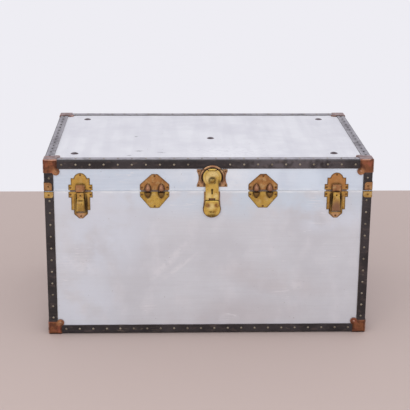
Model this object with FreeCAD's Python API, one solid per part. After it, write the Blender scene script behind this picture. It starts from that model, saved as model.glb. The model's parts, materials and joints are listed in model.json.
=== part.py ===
import FreeCAD, Part
import math
import os

# A flat-topped travel trunk, shut. A plywood box and lid are clad in aluminium sheet, every outer
# edge is bound in vulcanised fibre, steel caps cover the corners, and the front carries two draw
# bolts, two pairs of dowel plates and a hasp lock. Three butt hinges join the lid at the back and
# a leather strap handle is looped to each end.
# Millimetres. X runs along the front, Y goes to the back and Z is up. The origin lies on the floor
# under the middle of the whole trunk.

# Carcass, measured over the edge bindings
length = 838.0
depth = 530.0
shell_height = 475.0
lid_height = 82.5
ply = 9.0
sheet = 0.8
seam_gap = 0.5

# Edge bindings
binding = 2.0
binding_leg = 24.0
binding_round = 4.0
mitre_gap = 0.1

# Corner caps
cap_wall = 1.6
cap_leg = 34.0
corner_relief = 1.5
cap_ear_radius = 9.5
cap_ear_centre = 31.0
cap_foot_gap = 0.3

# Clips that hold the ends of the corner bindings at the seam
clip_wall = 1.0
lid_clip_leg = 20.0
lid_clip_height = 21.0
base_clip_leg = 23.0
base_clip_height = 16.0
clip_round = 7.0
clip_seam_gap = 2.0

# Rim strip round the mouth of the box, with a tongue that stands inside the lid
rim_wall = 1.0
rim_lip = 0.6
tongue_wall = 1.2
tongue_gap = 0.4
tongue_rise = 9.0
tongue_drop = 18.0

# Binding nails
nail_radius = 3.1
nail_height = 1.2
nail_crown = 0.55
nail_sides = 6
nail_line = 13.0
nail_pitch_long = 35.0
nail_pitch_end = 33.0
nail_pitch_post = 31.0
nail_clear = 5.0

# Domed studs on the lid
stud_radius = 10.0
stud_height = 3.2
stud_inset_x = 83.0
stud_inset_front = 70.0
stud_inset_back = 74.0
stud_middle_x = 12.0
stud_front_lean = 9.0
stud_middle_forward = 34.0

# Brass fittings are pressed from this
plate = 1.5
plate_bevel = 0.6
fitting_seam_gap = 2.4

# Draw bolts
latch_inset = 92.0
latch_ear_half = 30.5
latch_body_half = 24.0
latch_arch_half = 16.5
latch_ear_top = 17.0
latch_body_top = 34.0
latch_arch_top = 47.5
latch_ear_drop = 17.3
latch_body_drop = 50.7
latch_step_half = 17.5
latch_step_drop = 61.5
latch_tip_drop = 73.0
latch_tip_half = 5.0
lever_half = 12.0
lever_top_half = 9.0
lever_neck_half = 10.0
lever_step_drop = 19.0
lever_step = 2.0
lever_wall = 1.2
lever_back = 3.0
lever_front = 10.5
lever_top_drop = 1.7
lever_round = 2.0
lever_foot = 0.7
lever_hole_radius = 1.7
lever_pin_drop = 54.0
lever_pin_out = 6.0
lever_pin_radius = 1.5
lever_side_gap = 0.4
cheek_wall = 1.8
cheek_top_drop = 8.6
cheek_top_out = 4.0
cheek_pin_wall = 3.0
hook_pin_drop = 9.7
hook_pin_out = 5.5
hook_pin_radius = 1.3
hook_eye_radius = 2.8
hook_arm_half = 6.0
hook_top = 19.3
hook_lip_depth = 4.5
hook_wall = 1.5
hook_half = 12.4
hook_corner = 5.2
hook_round = 1.2
keeper_half = 8.5
keeper_low = 8.5
keeper_height = 5.5
keeper_ramp = 1.8
keeper_gap = 0.5
pin_clearance = 0.05

# Dowel plates
dowel_x = 138.5
dowel_half = 37.5
dowel_side_top = 17.0
dowel_top = 44.5
dowel_top_half = 7.5
dowel_side_drop = 14.5
dowel_drop = 45.5
dowel_drop_half = 11.5
dowel_corner_round = 4.0
boss_spread = 17.0
boss_radius = 8.4
boss_reach = 20.0
boss_out = 3.0
boss_shoulder = 0.69
dowel_pin_out = 5.0
dowel_pin_radius = 4.0
dowel_pin_tip = 2.2
dowel_pin_length = 7.0
dowel_socket_gap = 0.7
dowel_socket_floor = 1.5

# Hasp lock
lock_x = 8.0
lock_plate_half = 39.0
lock_plate_waist = 34.5
lock_plate_low = 10.4
lock_plate_high = 57.0
lock_plate_shoulder = 5.8
lock_arch_radius = 31.5
lock_arch_wall = 4.2
lock_arch_out = 7.0
lock_arch_drop = 11.8
lock_arch_round = 1.5
hasp_centre = 36.8
hasp_radius = 23.7
hasp_half = 17.0
hasp_drop = 23.0
hasp_back = 5.0
hasp_front = 7.5
hasp_ring_radius = 17.5
hasp_ring_rise = 1.2
hasp_bevel = 0.7
hasp_well_radius = 10.4
hasp_well_depth = 1.0
hasp_dome_radius = 7.8
hasp_dome_rise = 5.2
hasp_dome_drop = 7.4
hasp_knuckle_radius = 3.0
hasp_knuckle_half = 8.0
hasp_pin_radius = 1.5
hasp_ear_wall = 2.4
hasp_ear_gap = 0.4
keyhole_z = 4.2
keyhole_radius = 3.2
keyhole_slot_half = 1.9
keyhole_slot = 11.8
keyhole_floor = 0.8
notch_half = 8.0
notch_rise = 4.5
staple_half = 9.0
staple_top = 9.2
staple_drop = 19.0
staple_back = 2.2
recess_gap = 0.6
recess_wall = 3.0
slide_gap = 1.2
slide_top_half = 16.6
slide_radius = 21.4
slide_shoulder = 0.95
slide_centre_drop = 48.7
slide_front = 8.2
slide_edge_round = 2.4
slide_travel = 8.0
thumb_notch_half = 5.0
thumb_notch_drop = 9.4
thumb_notch_radius = 2.4
thumb_notch_depth = 0.8
slide_run_gap = 0.3
lock_base = 2.0
lock_base_half = 20.5
lock_base_margin = 1.8
rail_stem_half = 4.0
rail_head_half = 7.0
rail_step = 1.4
rail_half_length = 11.0

# Butt hinges on the back
hinge_inset = 129.0
hinge_half = 32.0
hinge_leaf = 44.0
hinge_leaf_round = 8.0
knuckle_radius = 4.5
hinge_pin_radius = 2.2
hinge_pin_head = 1.2
knuckle_gap = 0.3
knuckle_lid_half = 12.0

# Strap handles on the ends
handle_drop = 158.0
handle_half_span = 112.0
strap_half = 15.0
strap = 5.0
strap_tail = 16.0
strap_bow = 15.0
strap_edge_bevel = 1.0
loop_wall = 1.6
loop_half = 13.0
loop_foot = 15.0
loop_gap = 0.3
loop_bend = 1.0

# Levels and faces that the pieces share
cap_round = binding_round - corner_relief
bottom_z = cap_wall
top_z = bottom_z + shell_height
seam_z = top_z - lid_height
half_length = length / 2
half_depth = depth / 2
latch_x = half_length - latch_inset
hinge_x = half_length - hinge_inset
handle_z = seam_z - handle_drop
skin_x = half_length - binding
skin_y = half_depth - binding
ply_x = skin_x - sheet
ply_y = skin_y - sheet
inside_x = ply_x - ply
inside_y = ply_y - ply
skin_bottom = bottom_z + binding
skin_top = top_z - binding
base_wall_top = seam_z - rim_wall
lid_wall_bottom = seam_z + seam_gap
front_reach = hasp_front + hasp_ring_rise - hasp_well_depth + hasp_dome_rise
back_reach = 2 * knuckle_radius
centre_y = (front_reach - back_reach) / 2
front_y = centre_y - skin_y
back_y = centre_y + skin_y
END_SIGNS = (-1, 1)
ROOT_HALF = math.sqrt(0.5)
TINY = 1e-6
PARTS = "parts"


def vec(x, y, z):
    return FreeCAD.Vector(x, y, z)


def block(x0, x1, y0, y1, z0, z1):
    return Part.makeBox(x1 - x0, y1 - y0, z1 - z0, vec(x0, y0, z0))


def fuse(shapes):
    return shapes[0].multiFuse(shapes[1:]).removeSplitter()


def cut(shape, tools):
    return shape.cut(tools[0].multiFuse(tools[1:]) if len(tools) > 1 else tools[0])


def edges_along(shape, axis):
    """Straight edges that run along one axis."""
    found = []
    for edge in shape.Edges:
        straight = edge.Curve.TypeId == "Part::GeomLine"
        if straight and edge.Curve.Direction.cross(axis).Length < TINY:
            found.append(edge)
    return found


def profile(half):
    """Closed outline from its right half, listed from the top middle to the bottom middle.
    A point is (u, z); a pair of points is an arc through the first to the second."""
    edges = []
    start = half[0]
    for step in half[1:]:
        arc = isinstance(step[0], tuple)
        end = step[1] if arc else step
        a = vec(start[0], 0, start[1])
        b = vec(end[0], 0, end[1])
        if arc:
            middle = vec(step[0][0], 0, step[0][1])
            edges.append(Part.Arc(a, middle, b).toShape())
        else:
            edges.append(Part.LineSegment(a, b).toShape())
        start = end
    edges += [edge.mirror(vec(0, 0, 0), vec(1, 0, 0)) for edge in edges]
    return Part.Face(Part.Wire(Part.__sortEdges__(edges)))


def front_plate(half, n0, n1, x):
    """Profile laid on the front, from n0 to n1 proud of the sheet, with z counted from the seam."""
    solid = profile(half).extrude(vec(0, n0 - n1, 0))
    solid.translate(vec(x, front_y - n0, seam_z))
    return solid


def rim_edges(solid, n):
    """Edges of a solid on the front that lie n proud of the sheet."""
    level = front_y - n
    return [e for e in solid.Edges if e.BoundBox.YLength < TINY and abs(e.BoundBox.YMin - level) < TINY]


def pressed_plate(half, thick, x):
    """Plate on the front with a bevel round its face."""
    solid = front_plate(half, 0, thick, x)
    return solid.makeChamfer(plate_bevel, rim_edges(solid, thick))


def side_section(points, u0, u1):
    """Section of (n, z) points, swept across the front from u0 to u1."""
    wire = Part.makePolygon([vec(u0, front_y - n, seam_z + z) for n, z in points + points[:1]])
    return Part.Face(wire).extrude(vec(u1 - u0, 0, 0))


def front_rod(radius, n, z, u0, u1):
    return Part.makeCylinder(radius, u1 - u0, vec(u0, front_y - n, seam_z + z), vec(1, 0, 0))


def dome(radius, rise):
    """Low dome, seated on the origin and pointing along Z."""
    ball = (radius ** 2 + rise ** 2) / (2 * rise)
    lean = math.asin(radius / ball) / 2
    foot, rim, crown = vec(0, 0, 0), vec(radius, 0, 0), vec(0, 0, rise)
    shoulder = vec(ball * math.sin(lean), 0, rise - ball * (1 - math.cos(lean)))
    edges = [Part.LineSegment(foot, rim).toShape(), Part.Arc(rim, shoulder, crown).toShape(),
             Part.LineSegment(crown, foot).toShape()]
    return Part.Face(Part.Wire(edges)).revolve(foot, crown, 360)


def placed(shape, origin, run, leg_a, leg_b):
    """Sets a shape drawn along X, Y and Z onto three other axes."""
    if run.cross(leg_a).dot(leg_b) < 0:
        leg_a, leg_b = leg_b, leg_a
    matrix = FreeCAD.Matrix(run.x, leg_a.x, leg_b.x, origin.x,
                            run.y, leg_a.y, leg_b.y, origin.y,
                            run.z, leg_a.z, leg_b.z, origin.z,
                            0, 0, 0, 1)
    result = shape.copy()
    result.Placement = FreeCAD.Placement(matrix)
    return result


# Plywood and sheet

def walls(z0, z1):
    """Plywood walls of the box or the lid: front and back run through, the ends fit between."""
    return {
        "front_panel": block(-ply_x, ply_x, centre_y - ply_y, centre_y - inside_y, z0, z1),
        "back_panel": block(-ply_x, ply_x, centre_y + inside_y, centre_y + ply_y, z0, z1),
        "end_panels": Part.makeCompound([
            block(min(s * inside_x, s * ply_x), max(s * inside_x, s * ply_x),
                  centre_y - inside_y, centre_y + inside_y, z0, z1) for s in END_SIGNS]),
    }


def wall_sheets(z0, z1):
    """Aluminium on the four walls: the front and back sheets lap the edges of the end sheets."""
    return {
        "front_sheet": block(-skin_x, skin_x, front_y, front_y + sheet, z0, z1),
        "back_sheet": block(-skin_x, skin_x, back_y - sheet, back_y, z0, z1),
        "end_sheets": Part.makeCompound([
            block(min(s * ply_x, s * skin_x), max(s * ply_x, s * skin_x),
                  centre_y - ply_y, centre_y + ply_y, z0, z1) for s in END_SIGNS]),
    }


def level_panel(z0):
    return block(-inside_x, inside_x, centre_y - inside_y, centre_y + inside_y, z0, z0 + ply)


def level_sheet(z0):
    return block(-skin_x, skin_x, front_y, back_y, z0, z0 + sheet)


def rim_strips():
    """Metal strip on the mouth of the box: a flange over the wall and a tongue behind it."""
    tongue_x = inside_x - tongue_gap
    tongue_y = inside_y - tongue_gap
    inner_x = tongue_x - tongue_wall
    inner_y = tongue_y - tongue_wall
    low = base_wall_top - tongue_drop
    high = seam_z + tongue_rise
    strips = []
    for sign, lip in ((-1, rim_lip), (1, 0.0)):
        flange = block(-skin_x, skin_x, inner_y, skin_y + lip, base_wall_top, seam_z)
        tongue = block(-tongue_x, tongue_x, inner_y, tongue_y, low, high)
        strip = fuse([flange, tongue])
        if sign < 0:
            strip = strip.mirror(vec(0, 0, 0), vec(0, 1, 0))
        strip.translate(vec(0, centre_y, 0))
        strips.append(strip)
    for sign in END_SIGNS:
        flange = block(inner_x, skin_x + rim_lip, -inner_y, inner_y, base_wall_top, seam_z)
        tongue = block(inner_x, tongue_x, -inner_y, inner_y, low, high)
        strip = fuse([flange, tongue])
        if sign < 0:
            strip = strip.mirror(vec(0, 0, 0), vec(1, 0, 0))
        strip.translate(vec(0, centre_y, 0))
        strips.append(strip)
    return Part.makeCompound(strips)


# Edge bindings

def binding_section():
    """Angle of bent fibre, with its outer corner at the origin and its legs along Y and Z."""
    r = binding_round
    k = r * (1 - ROOT_HALF)
    corner = Part.Arc(vec(0, 0, r), vec(0, k, k), vec(0, r, 0)).toShape()
    rest = Part.makePolygon([vec(0, r, 0), vec(0, binding_leg, 0), vec(0, binding_leg, binding),
                             vec(0, binding, binding), vec(0, binding, binding_leg),
                             vec(0, 0, binding_leg), vec(0, 0, r)])
    return Part.Face(Part.Wire([corner] + rest.Edges))


def binding_strip(run, mitred_end):
    """Strip from 0 to run along X, mitred on both legs at 0 and, if asked, at the far end."""
    strip = binding_section().extrude(vec(run, 0, 0))
    reach = binding_leg + binding
    ends = [(mitre_gap, 1)]
    if mitred_end:
        ends.append((run - mitre_gap, -1))
    for x, way in ends:
        for a, b in ((vec(0, 1, 0), vec(0, 0, 1)), (vec(0, 0, 1), vec(0, 1, 0))):
            corner = vec(x, 0, 0)
            tip = corner + vec(way * reach, 0, 0) + a * reach
            beyond = corner + vec(-way * reach, 0, 0)
            wedge = Part.Face(Part.makePolygon([corner, tip, beyond + a * reach, beyond, corner]))
            strip = strip.cut(wedge.extrude(b * reach))
    return strip


def edge_bindings(z, inward):
    """Bindings round the top or the bottom: front, back, left and right."""
    up = vec(0, 0, inward)
    long_strip = binding_strip(length, True)
    short_strip = binding_strip(depth, True)
    x, y = half_length, half_depth
    return {
        "front_binding": placed(long_strip, vec(-x, centre_y - y, z), vec(1, 0, 0), vec(0, 1, 0), up),
        "back_binding": placed(long_strip, vec(-x, centre_y + y, z), vec(1, 0, 0), vec(0, -1, 0), up),
        "left_binding": placed(short_strip, vec(-x, centre_y - y, z), vec(0, 1, 0), vec(1, 0, 0), up),
        "right_binding": placed(short_strip, vec(x, centre_y - y, z), vec(0, 1, 0), vec(-1, 0, 0), up),
    }


def corners():
    """The four upright edges as (name, sign in x, sign in y)."""
    return (("front_left", -1, -1), ("front_right", 1, -1), ("back_left", -1, 1), ("back_right", 1, 1))


def corner_bindings(z, way, run):
    """Four upright bindings, mitred at height z and cut square at the seam."""
    strip = binding_strip(run, False)
    return Part.makeCompound([
        placed(strip, vec(sx * half_length, centre_y + sy * half_depth, z),
               vec(0, 0, way), vec(-sx, 0, 0), vec(0, -sy, 0)) for _, sx, sy in corners()])


# Corner caps and clips

def corner_edges(solid, low):
    """The three edges of a block that meet at its lowest corner."""
    corner = vec(low, low, low)
    return [e for e in solid.Edges if min(p.Point.distanceToPoint(corner) for p in e.Vertexes) < TINY]


def corner_cap():
    """Pressed cap for one corner, which lies at the origin with the trunk towards +X, +Y, +Z."""
    outer = block(-cap_wall, cap_leg, -cap_wall, cap_leg, -cap_wall, cap_leg)
    outer = outer.makeFillet(cap_round + cap_wall, corner_edges(outer, -cap_wall))
    inner = block(0, 2 * cap_leg, 0, 2 * cap_leg, 0, 2 * cap_leg)
    inner = inner.makeFillet(cap_round, corner_edges(inner, 0))
    shell = outer.cut(inner)
    ears = []
    axes = (vec(1, 0, 0), vec(0, 1, 0), vec(0, 0, 1))
    for i in range(3):
        face, a, b = axes[i], axes[(i + 1) % 3], axes[(i + 2) % 3]
        middle = (a + b) * cap_ear_centre
        disc = Part.makeCylinder(cap_ear_radius, cap_wall, middle - face * cap_wall, face)
        foot = Part.makeCylinder(cap_ear_radius, binding, middle, face)
        clear = (a + b) * (binding_leg + cap_foot_gap)
        square = Part.makePolygon([clear, clear + a * cap_leg, clear + (a + b) * cap_leg,
                                   clear + b * cap_leg, clear])
        ears += [disc, foot.common(Part.Face(square).extrude(face * binding))]
    return fuse([shell] + ears)


def corner_caps(z, way):
    """Four caps at the height z, opening upwards or downwards."""
    cap = corner_cap()
    caps = {}
    for name, sx, sy in corners():
        piece = cap.copy()
        for sign, normal in ((-sx, vec(1, 0, 0)), (-sy, vec(0, 1, 0)), (way, vec(0, 0, 1))):
            if sign < 0:
                piece = piece.mirror(vec(0, 0, 0), normal)
        piece.translate(vec(sx * half_length, centre_y + sy * half_depth, z))
        caps[name + "_cap"] = piece
    return caps


def corner_clip(leg, tall, rounded_low):
    """Clip bent round an upright edge at the origin, with the trunk towards +X and +Y."""
    def rounded(low, high, radius):
        """Upright block with its edge at the low corner rounded."""
        solid = block(low, high, low, high, 0, tall)
        edges = edges_along(solid, vec(0, 0, 1))
        near = [e for e in edges if e.Vertexes[0].X < low + TINY and e.Vertexes[0].Y < low + TINY]
        return solid.makeFillet(radius, near)

    clip = rounded(-clip_wall, leg, cap_round + clip_wall).cut(rounded(0, 2 * leg, cap_round))
    level = 0 if rounded_low else tall
    ends = []
    for edge in edges_along(clip, vec(1, 0, 0)) + edges_along(clip, vec(0, 1, 0)):
        if edge.Length < clip_wall + TINY and abs(edge.CenterOfMass.z - level) < TINY:
            ends.append(edge)
    return clip.makeFillet(clip_round, ends)


def corner_clips(leg, tall, z, rounded_low):
    clip = corner_clip(leg, tall, rounded_low)
    clips = []
    for _, sx, sy in corners():
        piece = clip.copy()
        if sx > 0:
            piece = piece.mirror(vec(0, 0, 0), vec(1, 0, 0))
        if sy > 0:
            piece = piece.mirror(vec(0, 0, 0), vec(0, 1, 0))
        piece.translate(vec(sx * half_length, centre_y + sy * half_depth, z))
        clips.append(piece)
    return Part.makeCompound(clips)


# Nails and studs

def nail_head():
    """Faceted head of a binding nail, seated on the origin and pointing along Z."""
    turn = 2 * math.pi / nail_sides

    def ring(radius, z):
        return [vec(radius * math.cos(i * turn), radius * math.sin(i * turn), z) for i in range(nail_sides)]

    foot = ring(nail_radius, 0)
    crown = ring(nail_radius * nail_crown, nail_height)
    outlines = [foot[::-1], crown]
    for i in range(nail_sides):
        outlines.append([foot[i - 1], foot[i], crown[i], crown[i - 1]])
    faces = [Part.Face(Part.makePolygon(points + points[:1])) for points in outlines]
    return Part.Solid(Part.Shell(faces))


def spaced(low, high, pitch):
    """Places between two ends, evenly spaced at about the pitch, or the middle of a run too short for two."""
    count = round((high - low) / pitch)
    if count == 0:
        return [(low + high) / 2]
    return [low + (high - low) * i / count for i in range(count + 1)]


def nail_rows(z, inward, seam_end):
    """Nails of the box or the lid: two rows on each edge binding, and two on each upright one."""
    head = nail_head()
    reach = cap_ear_centre + cap_ear_radius + nail_clear
    heads = []

    def drive(point, out):
        turn = FreeCAD.Rotation(vec(0, 0, 1), out)
        nail = head.copy()
        nail.Placement = FreeCAD.Placement(point, turn)
        heads.append(nail)

    level = z + inward * nail_line
    for sy in END_SIGNS:
        side = centre_y + sy * half_depth
        for x in spaced(reach - half_length, half_length - reach, nail_pitch_long):
            in_plate = sy < 0 and abs(x - lock_x) < lock_arch_radius + nail_radius
            if not (in_plate and inward < 0):
                drive(vec(x, side, level), vec(0, sy, 0))
            drive(vec(x, side - sy * nail_line, z), vec(0, 0, -inward))
    for sx in END_SIGNS:
        side = sx * half_length
        for y in spaced(reach - half_depth, half_depth - reach, nail_pitch_end):
            drive(vec(side, centre_y + y, level), vec(sx, 0, 0))
            drive(vec(side - sx * nail_line, centre_y + y, z), vec(0, 0, -inward))
    low, high = sorted((z + inward * reach, seam_end))
    for _, sx, sy in corners():
        side_x, side_y = sx * half_length, centre_y + sy * half_depth
        for level in spaced(low, high, nail_pitch_post):
            drive(vec(side_x - sx * nail_line, side_y, level), vec(0, sy, 0))
            drive(vec(side_x, side_y - sy * nail_line, level), vec(sx, 0, 0))
    return Part.makeCompound(heads)


def lid_studs():
    front = centre_y - half_depth + stud_inset_front
    back = centre_y + half_depth - stud_inset_back
    side = half_length - stud_inset_x
    places = [(sx * side - lean, y) for sx in END_SIGNS for y, lean in ((front, stud_front_lean), (back, 0))]
    places.append((stud_middle_x, centre_y - stud_middle_forward))
    studs = []
    for x, y in places:
        piece = dome(stud_radius, stud_height)
        piece.translate(vec(x, y, skin_top))
        studs.append(piece)
    return Part.makeCompound(studs)


# Draw bolts

def latch_lid_plate(x):
    """Arched plate with a keeper rib for the hook."""
    rise = latch_arch_top - latch_body_top
    radius = (latch_arch_half ** 2 + rise ** 2) / (2 * rise)
    lean = 0.5 * math.asin(latch_arch_half / radius)
    on_arch = (radius * math.sin(lean), latch_arch_top - radius * (1 - math.cos(lean)))
    half = [(0, latch_arch_top), (on_arch, (latch_arch_half, latch_body_top)),
            (latch_body_half, latch_body_top), (latch_body_half, latch_ear_top),
            (latch_ear_half, latch_ear_top), (latch_ear_half, fitting_seam_gap), (0, fitting_seam_gap)]
    keeper_out = lever_front - hook_lip_depth - keeper_gap
    keeper = [(0, keeper_low), (keeper_out, keeper_low + keeper_ramp),
              (keeper_out, keeper_low + keeper_height), (0, keeper_low + keeper_height)]
    body = pressed_plate(half, plate, x)
    return fuse([body, side_section(keeper, x - keeper_half, x + keeper_half)])


def latch_base_plate(x):
    """Pointed plate with two cheeks that carry the lever's pin."""
    half = [(0, -fitting_seam_gap), (latch_ear_half, -fitting_seam_gap),
            (latch_ear_half, -latch_ear_drop), (latch_body_half, -latch_ear_drop),
            (latch_body_half, -latch_body_drop),
            (latch_step_half, -latch_body_drop), (latch_step_half, -latch_step_drop),
            (latch_tip_half, -latch_tip_drop), (0, -latch_tip_drop)]
    crest = lever_pin_out + cheek_pin_wall
    foot = -lever_pin_drop - cheek_pin_wall
    cheek = [(0, -cheek_top_drop), (cheek_top_out, -cheek_top_drop),
             (crest, -lever_pin_drop + cheek_pin_wall), (crest, foot), (0, foot)]
    inner = lever_half + lever_side_gap
    cheeks = [side_section(cheek, x + inner, x + inner + cheek_wall),
              side_section(cheek, x - inner - cheek_wall, x - inner)]
    body = fuse([pressed_plate(half, plate, x)] + cheeks)
    reach = inner + 2 * cheek_wall
    return body.cut(front_rod(lever_pin_radius, lever_pin_out, -lever_pin_drop, x - reach, x + reach))


def latch_pin(x):
    reach = lever_half + lever_side_gap + cheek_wall
    return front_rod(lever_pin_radius, lever_pin_out, -lever_pin_drop, x - reach, x + reach)


def lever_profile(inset):
    """Front of the lever, narrow at the top and flared towards its pin, drawn in by an inset."""
    low = -lever_pin_drop + (lever_pin_out - lever_back) * lever_foot
    return [(0, -lever_top_drop), (lever_top_half - inset, -lever_top_drop),
            (lever_top_half - inset, -lever_step_drop),
            (lever_neck_half - inset, -lever_step_drop - lever_step),
            (lever_half - inset, low), (0, low)]


def latch_lever(x):
    """Channel-shaped lever: a front wall with two flanges that turn on the pin."""
    eye = lever_pin_out - lever_back
    low = lever_profile(0)[-1][1]
    skin = front_plate(lever_profile(0), lever_back, lever_front, x)
    sides = [e for e in rim_edges(skin, lever_front) if e.BoundBox.ZLength > TINY]
    skin = skin.makeFillet(lever_round, sides)
    hollow = front_plate(lever_profile(lever_wall), 0, lever_front - lever_wall, x)
    solids = [skin.cut(hollow)]
    for side in END_SIGNS:
        outer = x + side * lever_half
        inner = outer - side * lever_wall
        u0, u1 = min(outer, inner), max(outer, inner)
        solids.append(front_rod(eye, lever_pin_out, -lever_pin_drop, u0, u1))
        neck = [(lever_back, -lever_pin_drop), (lever_pin_out + eye, -lever_pin_drop),
                (lever_pin_out + eye, low + lever_round), (lever_back, low + lever_round)]
        solids.append(side_section(neck, u0, u1))
    reach = lever_half + lever_wall
    left, right = x - reach, x + reach
    lever_bore = front_rod(lever_pin_radius + pin_clearance, lever_pin_out, -lever_pin_drop, left, right)
    hook_bore = front_rod(hook_pin_radius + pin_clearance, hook_pin_out, -hook_pin_drop, left, right)
    sight_hole = disc(lever_hole_radius, lever_front - 2 * lever_wall, 2 * lever_front, -hook_pin_drop, x)
    return cut(fuse(solids), [lever_bore, hook_bore, sight_hole])


def hood_profile(inset, low):
    """Front of the hook, square with rounded upper corners, drawn in by an inset."""
    side = hook_half - inset
    top = hook_top - inset
    bend = hook_corner - inset
    near = bend * (1 - ROOT_HALF)
    return [(0, top), (side - bend, top), ((side - near, top - near), (side, top - bend)),
            (side, low), (0, low)]


def latch_hook(x):
    """Hooded hook that turns on two trunnions in the top of the lever and reaches over the keeper."""
    arm_back = hook_pin_out - hook_wall / 2
    head_low = -lever_top_drop + hook_wall
    web = head_low + hook_wall
    back = lever_front - hook_lip_depth
    hood = front_plate(hood_profile(0, head_low), back, lever_front, x)
    arch = [e for e in rim_edges(hood, lever_front) if e.BoundBox.ZMax > seam_z + head_low + TINY]
    hood = hood.makeFillet(hook_round, arch)
    hood = hood.cut(front_plate(hood_profile(hook_wall, head_low), 0, lever_front - hook_wall, x))
    arm = [(arm_back, -hook_pin_drop), (arm_back + hook_wall, -hook_pin_drop), (arm_back + hook_wall, web),
           (lever_front - hook_wall / 2, web), (lever_front - hook_wall / 2, web + hook_wall),
           (arm_back, web + hook_wall)]
    pin_half = lever_top_half
    return fuse([
        hood,
        side_section(arm, x - hook_arm_half, x + hook_arm_half),
        front_rod(hook_eye_radius, hook_pin_out, -hook_pin_drop, x - hook_arm_half, x + hook_arm_half),
        front_rod(hook_pin_radius, hook_pin_out, -hook_pin_drop, x - pin_half, x + pin_half),
    ])


# Dowel plates

def rounded_plate(half, x):
    """Bevelled plate whose corners away from the seam are rounded."""
    solid = front_plate(half, 0, plate, x)
    far_corners = []
    for edge in edges_along(solid, vec(0, 1, 0)):
        if abs(edge.CenterOfMass.z - seam_z) > fitting_seam_gap + TINY:
            far_corners.append(edge)
    solid = solid.makeFillet(dowel_corner_round, far_corners)
    return solid.makeChamfer(plate_bevel, rim_edges(solid, plate))


def boss(x, way):
    """Pressed half spindle beside the seam, pointing up or down."""
    tip = vec(0, 0, way * boss_reach)
    wide = vec(boss_radius, 0, 0)
    shoulder = vec(boss_radius * boss_shoulder, 0, way * boss_reach * boss_shoulder)
    edges = [Part.LineSegment(vec(0, 0, 0), wide).toShape(),
             Part.Arc(wide, shoulder, tip).toShape(),
             Part.LineSegment(tip, vec(0, 0, 0)).toShape()]
    spindle = Part.Face(Part.Wire(edges)).revolve(vec(0, 0, 0), vec(0, 0, 1), 360)
    spindle.translate(vec(x, front_y - boss_out, seam_z))
    gap = way * fitting_seam_gap
    z0, z1 = sorted((seam_z + gap, seam_z + 2 * way * boss_reach))
    proud = block(x - 2 * boss_radius, x + 2 * boss_radius, front_y - 4 * boss_radius, front_y, z0, z1)
    return spindle.common(proud)


def dowel_lid_plate(x):
    """Half diamond on the lid, with two tapered dowels that point down."""
    half = [(0, dowel_top), (dowel_top_half, dowel_top), (dowel_half, dowel_side_top),
            (dowel_half, fitting_seam_gap), (0, fitting_seam_gap)]
    solids = [rounded_plate(half, x)]
    for side in END_SIGNS:
        u = x + side * boss_spread
        root = vec(u, front_y - dowel_pin_out, seam_z + fitting_seam_gap)
        solids.append(boss(u, 1))
        solids.append(Part.makeCone(dowel_pin_radius, dowel_pin_tip, dowel_pin_length + fitting_seam_gap,
                                    root, vec(0, 0, -1)))
    return fuse(solids)


def dowel_base_plate(x):
    """Half diamond on the box, whose bosses are the sockets of the dowels."""
    half = [(0, -fitting_seam_gap), (dowel_half, -fitting_seam_gap), (dowel_half, -dowel_side_drop),
            (dowel_drop_half, -dowel_drop), (0, -dowel_drop)]
    solids = [rounded_plate(half, x)]
    sockets = []
    for side in END_SIGNS:
        u = x + side * boss_spread
        mouth = vec(u, front_y - dowel_pin_out, seam_z)
        solids.append(boss(u, -1))
        wide, narrow = dowel_pin_radius + dowel_socket_gap, dowel_pin_tip + dowel_socket_gap
        deep = dowel_pin_length + dowel_socket_floor
        sockets.append(Part.makeCone(wide, narrow, deep, mouth, vec(0, 0, -1)))
    behind = block(x - dowel_half, x + dowel_half, front_y, front_y + 2 * boss_radius,
                   seam_z - dowel_drop, seam_z)
    return cut(fuse(solids), [socket.cut(behind) for socket in sockets])


# Hasp lock

def disc(radius, n0, n1, z, x):
    return Part.makeCylinder(radius, n1 - n0, vec(x, front_y - n0, seam_z + z), vec(0, -1, 0))


def hasp_pin_place():
    """How far out and how far above the seam the hasp turns."""
    return (hasp_back + hasp_front) / 2, hasp_centre + hasp_radius - hasp_knuckle_radius


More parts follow.
